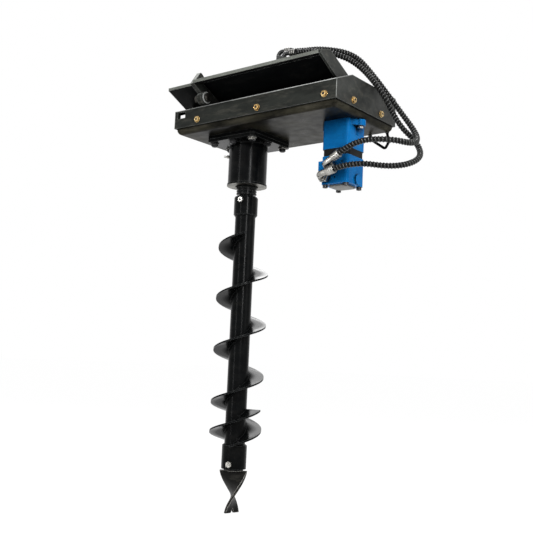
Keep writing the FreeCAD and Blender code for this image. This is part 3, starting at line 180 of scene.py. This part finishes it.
def shaded(tree, colour, reach, low, high, floor):
    """The colour, darker where other surfaces stand within reach: painted shade in corners and under
    overhangs.
    """
    near = new_node(tree, "ShaderNodeAmbientOcclusion", samples=6)
    near.inputs["Distance"].default_value = reach
    mask = ramp(tree, near.outputs["AO"], [(low, grey(floor)), (high, WHITE)])
    product = new_node(tree, "ShaderNodeMix", data_type="RGBA", blend_type="MULTIPLY")
    product.inputs["Factor"].default_value = 1.0
    for socket, value in (("A", colour), ("B", mask)):
        tree.links.new(value, colour_input(product, socket))
    return colour_output(product)


def facing(tree, stops):
    """An amount that follows how far the surface turns from the eye, 0 face on and 1 edge on."""
    weight = new_node(tree, "ShaderNodeLayerWeight")
    weight.inputs["Blend"].default_value = 0.5
    return ramp(tree, weight.outputs["Facing"], [(place, grey(amount)) for place, amount in stops])


def bumped(tree, shader, height, strength, distance, normal=None):
    """Fine relief on the shader's normal, over another normal where one is given."""
    bump = new_node(tree, "ShaderNodeBump")
    bump.inputs["Strength"].default_value = strength
    bump.inputs["Distance"].default_value = distance
    tree.links.new(height, bump.inputs["Height"])
    if normal:
        tree.links.new(normal, bump.inputs["Normal"])
    tree.links.new(bump.outputs["Normal"], shader.inputs["Normal"])


def along_fold(tree, way):
    """White where the surface faces one way, as on the round of a fold, and black elsewhere: where a
    highlight is painted.
    """
    geometry = new_node(tree, "ShaderNodeNewGeometry")
    same = alignment(tree, geometry.outputs["Normal"], Vector(way).normalized())
    return ramp(tree, same, [(0.925, BLACK), (0.985, WHITE)])


def paint(name, dark, light, rough, edge, dust=0.0, peel=0.25, gloss=((0.2, 0.3), (0.9, 0.5)),
          bevel_radius=EDGE_RADIUS, painted_shade=(0.02, 0.3, 0.45), fold=None, round_edges=True):
    """Sprayed paint: slow colour drift, orange peel, dust, painted shade in corners, and paler edges (wear
    and painted highlight).

    Gloss is a row of turns from the eye, each with its specular level. The shade in corners is painted: how
    far a corner reaches, the openness at which it is darkest, and how dark that is.
    """
    material, tree, shader = tree_of(name)
    drift = noise(tree, 9.0, 6.0, 0.65, (0.6, 1.4, 2.4))
    colour = ramp(tree, drift, [(0.35, dark), (0.68, light)])
    if dust:
        specks = noise(tree, 34.0, 8.0, 0.7, (0.5, 1.2, 1.8))
        film = ramp(tree, specks, [(0.5, BLACK), (0.75, grey(dust))])
        colour = mixed(tree, film, colour, DUST)
    soft = rounded(tree, bevel_radius)
    # Paler edges: partly wear and partly painted highlight
    wear_and_highlight = mixed(tree, noise(tree, 75.0, 4.0), colour, edge)
    colour = mixed(tree, edge_mask(tree, soft), colour, wear_and_highlight)
    # Painted highlight along the round of the fold
    if fold:
        colour = mixed(tree, along_fold(tree, fold), colour, FOLD_HIGHLIGHT)
    # Painted shade: the colour darkens in corners and beside close parts
    reach, low, floor = painted_shade
    tree.links.new(shaded(tree, colour, reach, low, 0.95, floor), shader.inputs["Base Color"])
    span = [(0.3, grey(rough * 0.8)), (0.75, grey(min(1.0, rough * 1.35)))]
    tree.links.new(ramp(tree, noise(tree, 30.0), span), shader.inputs["Roughness"])
    level = shader.inputs["Specular IOR Level"]
    level.default_value = sum(amount for place, amount in gloss) / len(gloss)
    tree.links.new(facing(tree, gloss), level)
    bumped(tree, shader, noise(tree, 420.0, 2.0), peel, 0.0004, soft if round_edges else None)
    return material


def metal(name, dark, light, rough, wear=0.3, metallic=1.0):
    """Bare or plated metal: colour drift, scattered marks and painted shade in its corners."""
    material, tree, shader = tree_of(name)
    colour = ramp(tree, noise(tree, 60.0, 5.0, 0.6), [(0.3, dark), (0.7, light)])
    # Painted shade in corners
    tree.links.new(shaded(tree, colour, 0.009, 0.35, 0.9, 0.06), shader.inputs["Base Color"])
    shader.inputs["Metallic"].default_value = metallic
    span = [(0.25, grey(rough * 0.7)), (0.8, grey(min(1.0, rough * (1.3 + wear))))]
    tree.links.new(ramp(tree, noise(tree, 140.0, 4.0, 0.6), span), shader.inputs["Roughness"])
    bumped(tree, shader, noise(tree, 500.0, 3.0, 0.5), 0.2, 0.0003, rounded(tree))
    return material


BLACK_PAINT = paint("case_black", (0.007, 0.008, 0.0072), (0.024, 0.026, 0.023), 0.42, (0.20, 0.21, 0.20),
                    dust=0.3, gloss=((0.3, 0.05), (0.8, 0.4)), bevel_radius=WIDE_EDGE_RADIUS,
                    fold=CASE_FOLD_WAY)
# A darker copy of the case's black for the hitch plate: painted shade under the lip
SHADED_PLATE_PAINT = paint("plate_black_painted_shade", (0.0012, 0.0014, 0.0016), (0.003, 0.0034, 0.0036), 0.5, (0.30, 0.31, 0.30),
                    dust=0.04, gloss=((0.4, 0.02), (0.85, 0.3)), bevel_radius=WIDE_EDGE_RADIUS)
# The tray's painted shade reaches far, to darken it round the housing and its flange
TRAY_PAINT = paint("tray_black", (0.003, 0.0029, 0.0022), (0.040, 0.037, 0.025), 0.33, (0.05, 0.048, 0.04),
                   dust=0.2, gloss=((0.3, 0.03), (0.8, 0.07)), painted_shade=(0.2, 0.5, 0.02))
GLOSS_PAINT = paint("auger_black", (0.0011, 0.0013, 0.0015), (0.0034, 0.0038, 0.004), 0.2,
                    (0.10, 0.105, 0.105), dust=0.04, peel=0.03,
                    gloss=((0.1, 0.04), (0.45, 0.05), (0.57, 0.13), (0.68, 0.05), (0.95, 0.3)),
                    round_edges=False)
# The motor's painted shade darkens its top under the case
BLUE_PAINT = paint("motor_blue", (0.002, 0.105, 0.33), (0.004, 0.165, 0.46), 0.28, (0.10, 0.42, 0.80),
                   gloss=((0.3, 0.02), (0.8, 0.1)), painted_shade=(0.13, 0.42, 0.03))
DARK_PAINT = paint("gerotor_grey", (0.003, 0.003, 0.003), (0.010, 0.010, 0.009), 0.5, (0.04, 0.04, 0.04),
                   gloss=((0.3, 0.05), (0.8, 0.2)))
CAP_PAINT = paint("cap_grey", (0.09, 0.09, 0.08), (0.2, 0.2, 0.19), 0.45, (0.3, 0.3, 0.3))
ZINC = metal("bright_zinc", (0.16, 0.155, 0.14), (0.50, 0.49, 0.46), 0.26)
GOLD = metal("yellow_zinc", (0.55, 0.32, 0.10), (0.95, 0.74, 0.38), 0.22)
BLACK_STEEL = metal("black_oxide", (0.006, 0.006, 0.0065), (0.02, 0.02, 0.021), 0.3, metallic=0.4)
STEEL = metal("machined_steel", (0.22, 0.215, 0.20), (0.46, 0.45, 0.42), 0.3)
# A paler copy of the black for the lip's end face: a painted highlight
LIT_EDGE_PAINT = paint("lit_edge_paint", (0.06, 0.064, 0.054), (0.16, 0.17, 0.15), 0.36, (0.3, 0.31, 0.29),
                   painted_shade=(0.01, 0.3, 0.5))
# Pale paint: the bare rim of the bush and the pull bar, and lines of painted highlight on the fold and the
# lip
PALE_BARE_AND_HIGHLIGHT = paint("bare_edge_and_highlight", (0.16, 0.165, 0.16), (0.50, 0.51, 0.49), 0.35, (0.5, 0.5, 0.5),
               painted_shade=(0.01, 0.3, 0.5))
RING_STEEL = metal("ring_steel", (0.14, 0.14, 0.125), (0.32, 0.31, 0.28), 0.4)
SEAM = paint("ground_seam", (0.05, 0.052, 0.05), (0.24, 0.25, 0.235), 0.35, (0.4, 0.4, 0.39), dust=0.1,
             gloss=((0.2, 0.2), (0.8, 0.5)))
PIN_STEEL = metal("pin_steel", (0.02, 0.019, 0.017), (0.09, 0.085, 0.075), 0.4, wear=0.5)
OILED = metal("oiled_chain", (0.10, 0.085, 0.06), (0.22, 0.20, 0.16), 0.35)
# The bit's very pale edges: partly wear and partly painted highlight
FORGED = paint("forged_bit", (0.0035, 0.0038, 0.0035), (0.013, 0.0125, 0.0115), 0.5, (0.75, 0.73, 0.68),
               dust=0.25, gloss=((0.3, 0.06), (0.8, 0.3)), bevel_radius=WIDE_EDGE_RADIUS)
GUARD = paint("hose_guard_black", (0.005, 0.0055, 0.0055), (0.022, 0.024, 0.022), 0.24, (0.10, 0.10, 0.10),
              peel=0.2, gloss=((0.2, 0.5), (0.9, 0.8)), painted_shade=(0.007, 0.3, 0.05))
RUBBER = paint("hose_rubber", (0.003, 0.003, 0.003), (0.010, 0.010, 0.0095), 0.55, (0.05, 0.05, 0.05),
               peel=0.4, gloss=((0.3, 0.05), (0.9, 0.3)), painted_shade=(0.006, 0.3, 0.1))

SHARP_ANGLE = math.radians(32)
FINISH = {
    "case_cover": BLACK_PAINT, "case_tray": TRAY_PAINT, "cover_bolts": GOLD, "hitch_plate": SHADED_PLATE_PAINT,
    "gusset_right": BLACK_PAINT, "gusset_left": BLACK_PAINT, "coupler_bracket": BLACK_PAINT,
    "hose_guide": GLOSS_PAINT, "mounting_pad": GLOSS_PAINT, "spindle_housing": GLOSS_PAINT,
    "housing_end_ring": GLOSS_PAINT, "auger_hub": GLOSS_PAINT, "bit_collar": GLOSS_PAINT,
    "auger_tube": GLOSS_PAINT, "flight_1": GLOSS_PAINT, "flight_2": GLOSS_PAINT, "flight_3": GLOSS_PAINT,
    "flight_4": GLOSS_PAINT, "lead_flight": GLOSS_PAINT, "flange_bolts": BLACK_STEEL, "motor_bolts": ZINC,
    "motor_cap_screws": BLACK_STEEL, "shaft_locknut": BLACK_STEEL, "bit_bolt": ZINC,
    "flange_nuts": ZINC, "hub_bolt": BLACK_STEEL, "motor_housing": BLUE_PAINT, "motor_port_block": BLUE_PAINT,
    "motor_gerotor": DARK_PAINT, "motor_end_cap": CAP_PAINT, "output_shaft": GLOSS_PAINT,
    "pilot_bit": FORGED, "chain_rollers": OILED, "chain_inner_plates": OILED, "chain_outer_plates": OILED,
    "driven_sprocket": STEEL, "driver_sprocket": STEEL, "shaft_seal": RUBBER, "hose_upper": RUBBER,
    "hose_lower": RUBBER, "lock_bush": BLACK_PAINT, "lock_pin": PIN_STEEL, "hose_elbow_near": GUARD,
    "hose_elbow_far": GUARD, "pull_bar": PALE_BARE_AND_HIGHLIGHT,
}
for name, item in parts.items():
    item.data.materials.clear()
    item.data.materials.append(FINISH.get(name, ZINC))
    item.data.shade_smooth()
    item.data.set_sharp_from_angle(angle=SHARP_ANGLE)


# Hoses: each is a NURBS line through its route, with a guard wound round it. HOSE is the radius
# over the guard, and the depths are taken off it.
HOSE = 0.0085
RUBBER_DEPTH = 0.0018
GUARD_DEPTH = 0.0020
GUARD_PITCH = 0.0088
GUARD_STEPS = 16
TUBE_SIDES = 8
ROUTES = {
    "hose_upper": [(0.37743, -0.0795, -0.20582), (0.42816, -0.0795, -0.17770), (0.515, -0.060, -0.182),
                   (0.549, 0.018, -0.183), (0.521, 0.081, -0.139), (0.465, 0.073, -0.060),
                   (0.403, 0.034, 0.039), (0.340, 0.032, 0.110), (0.250, 0.005, 0.134),
                   (0.17866, 0.00805, 0.14272), (0.13927, 0.00805, 0.14966)],
    "hose_lower": [(0.36402, -0.0795, -0.24677), (0.42075, -0.0795, -0.23471), (0.512, -0.018, -0.248),
                   (0.543, 0.066, -0.211), (0.509, 0.105, -0.153), (0.463, 0.075, -0.102),
                   (0.456, 0.006, -0.034), (0.377, 0.014, 0.061), (0.314, -0.005, 0.101),
                   (0.22951, -0.03195, 0.11859), (0.18774, -0.03195, 0.12298)],
}


def new_object(name, data, body="case", material=None):
    """A piece of the scene that rides on a body."""
    item = bpy.data.objects.new(name, data)
    bpy.context.scene.collection.objects.link(item)
    if material:
        data.materials.append(material)
    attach(item, body)
    return item


def hose_curve(name, points):
    """A curve with no thickness yet through a hose's route."""
    data = bpy.data.curves.new(name, "CURVE")
    data.dimensions = "3D"
    line = data.splines.new("NURBS")
    line.points.add(len(points) - 1)
    for knot, place in zip(line.points, points):
        knot.co = (*place, 1.0)
    line.order_u = 3
    line.use_endpoint_u = True
    line.resolution_u = 16
    data.bevel_resolution = 5
    data.use_fill_caps = True
    return data


def line_of(data):
    """Points along a curve that has no bevel yet."""
    probe = bpy.data.objects.new(data.name + "_probe", data)
    mesh = bpy.data.meshes.new_from_object(probe)
    places = [vertex.co.copy() for vertex in mesh.vertices]
    bpy.data.objects.remove(probe)
    bpy.data.meshes.remove(mesh)
    return places


def carried(side, ahead):
    """The side carried on square to a new direction, or any side at the start."""
    if side is None:
        return ahead.orthogonal().normalized()
    return (side - ahead * side.dot(ahead)).normalized()


def circle(count):
    """The cosine and sine of each step round a circle."""
    turns = [2 * math.pi * k / count for k in range(count)]
    return [(math.cos(turn), math.sin(turn)) for turn in turns]


def bridge(tool, rings):
    """Faces between each ring of vertices and the next."""
    count = len(rings[0])
    for ring, following in zip(rings, rings[1:]):
        for k in range(count):
            tool.faces.new((ring[k], ring[(k + 1) % count], following[(k + 1) % count], following[k]))


def smooth_mesh(tool, name):
    """A smooth-shaded mesh from the tool, which it frees."""
    mesh = bpy.data.meshes.new(name)
    tool.to_mesh(mesh)
    tool.free()
    mesh.shade_smooth()
    return mesh


def frames_along(places, step):
    """Evenly spaced places on a line, each with its direction and a side that never twists."""
    marks, here = [], 0.0
    side = None
    for start, end in zip(places, places[1:]):
        run = (end - start).length
        ahead = (end - start).normalized()
        side = carried(side, ahead)
        while here <= run:
            marks.append((start + ahead * here, ahead, side.copy()))
            here += step
        here -= run
    return marks


def tube_mesh(name, path, radius):
    """A thin round tube along a dense path."""
    tool = bmesh.new()
    rings = []
    side = None
    for index, place in enumerate(path):
        ahead = (path[min(index + 1, len(path) - 1)] - path[max(index - 1, 0)]).normalized()
        side = carried(side, ahead)
        over = ahead.cross(side)
        rings.append([tool.verts.new(place + radius * (cosine * side + sine * over))
                      for cosine, sine in circle(TUBE_SIDES)])
    bridge(tool, rings)
    tool.faces.new(rings[0][::-1])
    tool.faces.new(rings[-1])
    return smooth_mesh(tool, name)


for name, route in ROUTES.items():
    data = hose_curve(name + "_line", route)
    places = line_of(data)
    data.bevel_depth = HOSE - RUBBER_DEPTH
    hose = new_object(name + "_rubber", data, material=RUBBER)
    wound = []
    for count, (place, ahead, side) in enumerate(frames_along(places, GUARD_PITCH / GUARD_STEPS)):
        angle = 2 * math.pi * count / GUARD_STEPS
        outward = math.cos(angle) * side + math.sin(angle) * ahead.cross(side)
        wound.append(place + (HOSE - GUARD_DEPTH) * outward)
    coil = tube_mesh(name + "_guard", wound[3:-3], GUARD_DEPTH)
    guard = new_object(name + "_guard", coil, material=GUARD)
    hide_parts(name)


# Small pieces: weld beads, washers and screws
BEAD_STEP = 0.0022
LATHE_SHARP_ANGLE = math.radians(35)
WASHER_SIDES = 28
JOIN_WITHIN = 0.00001


def bead(name, path, radius, body="case", material=BLACK_PAINT):
    """A weld bead: a rippled roll laid along a path of straight runs."""
    dense = []
    for start, end in zip(path, path[1:]):
        count = max(2, int((end - start).length / BEAD_STEP))
        dense += [start.lerp(end, k / count) for k in range(count)]
    mesh = tube_mesh(name, dense + [path[-1]], radius)
    for vertex in mesh.vertices:
        ring = vertex.index // TUBE_SIDES
        middle = dense[min(ring, len(dense) - 1)]
        swell = 1.0 + 0.16 * math.sin(ring * 1.9) + 0.10 * math.sin(ring * 0.71 + 1.3)
        vertex.co = middle + (vertex.co - middle) * swell
    new_object(name, mesh, body, material)


def lathe(name, rows, body, material, place=(0, 0, 0), axis=(0, 0, 1), count=40):
    """A turned piece: its rows are radius and height along the axis, and open rows get end faces."""
    tool = bmesh.new()
    turn = Vector((0, 0, 1)).rotation_difference(Vector(axis))
    rings = []
    for radius, height in rows:
        rings.append([tool.verts.new(Vector(place) + turn @ Vector((radius * cosine, radius * sine, height)))
                      for cosine, sine in circle(count)])
    bridge(tool, rings)
    if rows[0] != rows[-1]:
        tool.faces.new(rings[0][::-1])
        tool.faces.new(rings[-1])
    bmesh.ops.recalc_face_normals(tool, faces=tool.faces)
    mesh = smooth_mesh(tool, name)
    mesh.set_sharp_from_angle(angle=LATHE_SHARP_ANGLE)
    new_object(name, mesh, body, material)


def washer(name, place, axis, inner, outer, thick, material, body="case"):
    """A flat ring with broken outer edges."""
    edge = min(0.0003, thick / 4)
    rows = [(inner, 0), (outer - edge, 0), (outer, edge), (outer, thick - edge), (outer - edge, thick),
            (inner, thick), (inner, 0)]
    lathe(name, rows, body, material, place, axis, WASHER_SIDES)


def solids_of(name):
    """The box of each separate solid in a node, from its mesh, in the order of their places."""
    tool = bmesh.new()
    tool.from_mesh(parts[name].data)
    bmesh.ops.remove_doubles(tool, verts=tool.verts, dist=JOIN_WITHIN)
    left, found = set(tool.verts), []
    while left:
        island, front = set(), [left.pop()]
        while front:
            vertex = front.pop()
            island.add(vertex)
            for edge in vertex.link_edges:
                other = edge.other_vert(vertex)
                if other in left:
                    left.discard(other)
                    front.append(other)
        spots = [vertex.co for vertex in island]
        low = Vector([min(spot[k] for spot in spots) for k in range(3)])
        high = Vector([max(spot[k] for spot in spots) for k in range(3)])
        found.append((low, high))
    tool.free()
    return sorted(found, key=lambda box: [round(value, 4) for value in box[0]])


def ring_path(radius, level, middle=(0, 0), axis="z", count=48):
    """A closed circle of points about an axis."""
    path = []
    for k in range(count + 1):
        turn = 2 * math.pi * k / count
        across, along = middle[0] + radius * math.cos(turn), middle[1] + radius * math.sin(turn)
        path.append(Vector((across, along, level) if axis == "z" else (level, across, along)))
    return path


def line_path(*corners):
    """A path of straight runs between corners."""
    return [Vector(corner) for corner in corners]


def second_material(name, material, wanted):
    """Give another material to the faces of a CAD piece that the test picks by place and direction."""
    item = parts[name]
    item.data.materials.append(material)
    turn = item.matrix_world.to_3x3()
    for polygon in item.data.polygons:
        if wanted(item.matrix_world @ polygon.center, turn @ polygon.normal):
            polygon.material_index = len(item.data.materials) - 1


# Faces of CAD pieces that differ: the lip's end face, a painted highlight, the ring's underside and one bare
# bolt
BARE_BOLT_AT = Vector((0.072, -0.072, 0))
second_material("hitch_plate", LIT_EDGE_PAINT, lambda place, normal: normal.y < -0.95 and place.y < -0.157)
second_material("housing_end_ring", RING_STEEL, lambda place, normal: normal.z < -0.9)
second_material("flange_bolts", ZINC, lambda place, normal: (place - BARE_BOLT_AT).xy.length < 0.016)

# Cover bolts: a plated washer under each head, and a dark disc on its end as the painted shade of a recess,
# except at the back
for index, (low, high) in enumerate(solids_of("cover_bolts")):
    middle, spread = (low + high) / 2, high - low
    if spread.x > spread.y:
        out = Vector((math.copysign(1, middle.x - 0.1), 0, 0))
    else:
        out = Vector((0, math.copysign(1, middle.y), 0))
    tip = middle + out * max(spread) / 2
    washer(f"cover_washer_{index}", tip - out * 0.0055, out, 0.0070, 0.0094, 0.0014, GOLD)
    if out.y > 0.5:
        continue
    lathe(f"cover_recess_{index}", [(0.0036, 0), (0.0036, 0.0002)], "case", BLACK_STEEL, tip, out, count=6)
    washer(f"cover_rim_{index}", tip, out, 0.0038, 0.0056, 0.0007, GOLD)

# Flange bolts: a washer and a domed end on each
DOWN = (0, 0, -1)
for index, (low, high) in enumerate(solids_of("flange_bolts")):
    place = Vector(((low.x + high.x) / 2, (low.y + high.y) / 2, low.z))
    seat = Vector((place.x, place.y, low.z + 0.008))
    finish = ZINC if index % 3 else BLACK_STEEL
    washer(f"flange_washer_{index}", seat, DOWN, 0.0096, 0.0132, 0.0024, finish)
    dome = [(0.0086, 0), (0.0086, 0.0016), (0.0064, 0.0032), (0.002, 0.004)]
    lathe(f"flange_dome_{index}", dome, "case", BLACK_STEEL, place, DOWN, count=24)

# Lock: the turned rim of the bush
RIM = [(0.0127, 0), (0.0167, 0), (0.0171, 0.0005), (0.0171, 0.0015), (0.0166, 0.002), (0.0127, 0.002),
       (0.0127, 0)]
LOCK_MIDDLE = (-0.144, -0.0036)
lathe("bush_rim", RIM, "case", PALE_BARE_AND_HIGHLIGHT, (-0.048, *LOCK_MIDDLE), (1, 0, 0))

# Cross bolt of the hub: the bare ring round its socket
HUB_BOLT_TURN = math.radians(-75)
way = Vector((math.cos(HUB_BOLT_TURN), math.sin(HUB_BOLT_TURN), 0))
washer("hub_bolt_ring", way * 0.0423 + Vector((0, 0, -0.290)), way, 0.0030, 0.0072, 0.0014, ZINC, "drill")

# Collar rings under the housing, and the rings crimped on the hose ends
NECK_RING = [(0.0283, 0), (0.0302, 0.0006), (0.0302, 0.0034), (0.0283, 0.004)]
for level in (-0.2545, -0.262, -0.2695):
    lathe(f"neck_ring_{-level:.4f}", NECK_RING, "drill", GLOSS_PAINT, (0, 0, level))
FIRST_CRIMP, CRIMP_STEP = 0.0055, 0.0065
for name, route in ROUTES.items():
    for end, following, radius in ((route[0], route[1], 0.0115), (route[-1], route[-2], 0.0098)):
        out = (Vector(following) - Vector(end)).normalized()
        rows = [(radius - 0.0003, 0), (radius + 0.0005, 0.0006), (radius + 0.0005, 0.0034),
                (radius - 0.0003, 0.004)]
        for step in range(3):
            place = Vector(end) - out * (FIRST_CRIMP + CRIMP_STEP * step)
            lathe(f"{name}_crimp_{radius}_{step}", rows, "case", ZINC, place, out, WASHER_SIDES)

# Weld beads on the case
BEADS = {
    "right_cheek_foot": line_path((0.3922, -0.121, -0.0178), (0.3922, -0.078, 0.0), (0.3922, -0.060, 0.0)),
    "ear_foot_right": line_path((-0.0527, -0.121, -0.0178), (-0.0527, -0.080, -0.001)),
    "ear_foot_left": line_path((-0.0673, -0.121, -0.0178), (-0.0673, -0.080, -0.001)),
    "hitch_foot_back": line_path((-0.162, -0.0592, 0.0), (0.384, -0.0592, 0.0)),
    "hitch_foot_front": line_path((-0.162, -0.0795, -0.0008), (0.384, -0.0795, -0.0008)),
    "bracket_foot_near": line_path((0.068, -0.0563, 0.0), (0.164, -0.0563, 0.0)),
    "bracket_foot_far": line_path((0.068, 0.0323, 0.0), (0.164, 0.0323, 0.0)),
}
for name, path in BEADS.items():
    bead(name, path, 0.0028)
bead("bush_weld", ring_path(0.0174, -0.0527, LOCK_MIDDLE, "x"), 0.0018)
for place in ((0.3380, 0.137), (0.3940, 0.137)):
    bead(f"guide_weld_{place[0]}", ring_path(0.0046, -0.1002, place, count=20), 0.0014)

# Edges of the case: ground seams on its front corners, and lines of painted highlight on the fold of the
# cover and the lip
SEAM_RADIUS = 0.0012
SKIRT_FRONT = -0.1512
for side in (0.4102, -0.1642):
    corners = line_path((side, SKIRT_FRONT, -0.082), (side, SKIRT_FRONT, -0.0306), (side, -0.0780, -0.0004))
    new_object(f"corner_seam_{side}", tube_mesh("corner_seam", corners, SEAM_RADIUS), material=SEAM)
EDGES = {
    "fold_highlight": line_path((-0.165, SKIRT_FRONT, -0.0308), (0.4105, SKIRT_FRONT, -0.0308)),
    "lip_highlight": line_path((-0.052, -0.1985, 0.0328), (0.3915, -0.1985, 0.0328)),
}
for name, path in EDGES.items():
    new_object(name, tube_mesh(name, path, SEAM_RADIUS), material=PALE_BARE_AND_HIGHLIGHT)

# Weld beads on the auger: round the tube's ends, and along both sides of the flights
TUBE_SURFACE = 0.0304
FLIGHT_PITCH = 0.15
FLIGHT_START = -0.9975
TURN_STEPS = 30
bead("hub_tube_weld", ring_path(TUBE_SURFACE, -0.3336), 0.0022, "drill", GLOSS_PAINT)
bead("collar_tube_weld", ring_path(TUBE_SURFACE, -0.9994), 0.0022, "drill", GLOSS_PAINT)
for name, foot, rise in (("main", -61.8, 0.604), ("lead", 141.0, 0.097)):
    for side in (-1, 1):
        path = []
        steps = int(rise / FLIGHT_PITCH * TURN_STEPS)
        for k in range(steps + 1):
            climb = rise * k / steps
            turn = math.radians(foot + climb / FLIGHT_PITCH * 360)
            level = FLIGHT_START + climb + side * 0.0030
            path.append(Vector((TUBE_SURFACE * math.cos(turn), TUBE_SURFACE * math.sin(turn), level)))
        bead(f"{name}_flight_weld_{side}", path, 0.0020, "drill", GLOSS_PAINT)


# Stage, light and background
FLOOR_SIZE = 30.0
FLOOR_GAP = 0.0005
FLOOR_GLOW = 1.14
FLOOR_SHARE = 0.82
WORLD_LIGHT = 0.36


def area_light(name, place, target, width, height, power):
    """A soft lamp that looks at a target."""
    data = bpy.data.lights.new(name, "AREA")
    data.shape = "RECTANGLE"
    data.size = width
    data.size_y = height
    data.energy = power
    item = bpy.data.objects.new(name, data)
    item.location = place
    item.rotation_euler = (Vector(target) - Vector(place)).to_track_quat("-Z", "Y").to_euler()
    bpy.context.scene.collection.objects.link(item)


def stage():
    """A white floor that keeps the part's shadow, and a white world."""
    mesh = bpy.data.meshes.new("floor")
    tool = bmesh.new()
    bmesh.ops.create_grid(tool, x_segments=1, y_segments=1, size=FLOOR_SIZE)
    tool.to_mesh(mesh)
    tool.free()
    floor = bpy.data.objects.new("floor", mesh)
    floor.location = (0, 0, cad_box[0][2] - FLOOR_GAP)
    bpy.context.scene.collection.objects.link(floor)
    material, tree, shader = tree_of("floor_white")
    shader.inputs["Base Color"].default_value = (0.85, 0.85, 0.85, 1.0)
    shader.inputs["Roughness"].default_value = 0.9
    shader.inputs["Specular IOR Level"].default_value = 0.1
    glow = new_node(tree, "ShaderNodeEmission")
    glow.inputs["Strength"].default_value = FLOOR_GLOW
    blend = new_node(tree, "ShaderNodeMixShader")
    tree.links.new(seen_directly(tree, 0.0, FLOOR_SHARE), blend.inputs["Fac"])
    tree.links.new(shader.outputs["BSDF"], blend.inputs[1])
    tree.links.new(glow.outputs["Emission"], blend.inputs[2])
    tree.links.new(blend.outputs["Shader"], tree.nodes["Material Output"].inputs["Surface"])
    mesh.materials.append(material)
    world = bpy.data.worlds.new("studio")
    bpy.context.scene.world = world
    world.use_nodes = True
    tree = world.node_tree
    back = tree.nodes["Background"]
    back.inputs["Color"].default_value = (1.0, 1.0, 1.0, 1.0)
    tree.links.new(seen_directly(tree, WORLD_LIGHT, 1.0), back.inputs["Strength"])


def seen_directly(tree, otherwise, amount):
    """One amount for rays from the camera and for reflections of the background, another for the rest."""
    rays = new_node(tree, "ShaderNodeLightPath")
    total = rays.outputs["Is Camera Ray"]
    for kind in ("Is Glossy Ray", "Is Transmission Ray"):
        most = new_node(tree, "ShaderNodeMath", operation="MAXIMUM")
        tree.links.new(total, most.inputs[0])
        tree.links.new(rays.outputs[kind], most.inputs[1])
        total = most.outputs["Value"]
    span = new_node(tree, "ShaderNodeMapRange")
    span.inputs["To Min"].default_value = otherwise
    span.inputs["To Max"].default_value = amount
    tree.links.new(total, span.inputs["Value"])
    return span.outputs["Result"]


bpy.context.scene.view_settings.view_transform = "Standard"
stage()
# Each lamp: its place, its target, its width and height in metres, and its watts
area_light("key", (0.6, -3.2, 1.6), (0.1, 0, -0.3), 1.8, 1.8, 20)
area_light("side", (3.0, 0.4, 0.4), (0.2, 0, -0.3), 1.4, 2.0, 15)
area_light("front_strip", (2.13, -1.49, 0.3), (0, 0, -0.3), 0.14, 1.6, 54)
area_light("left_strip", (-0.45, -2.56, -0.3), (0, 0, -0.5), 0.16, 2.0, 18)
area_light("back", (-1.34, 1.69, 1.4), (0, 0, -0.6), 1.9, 1.9, 38)
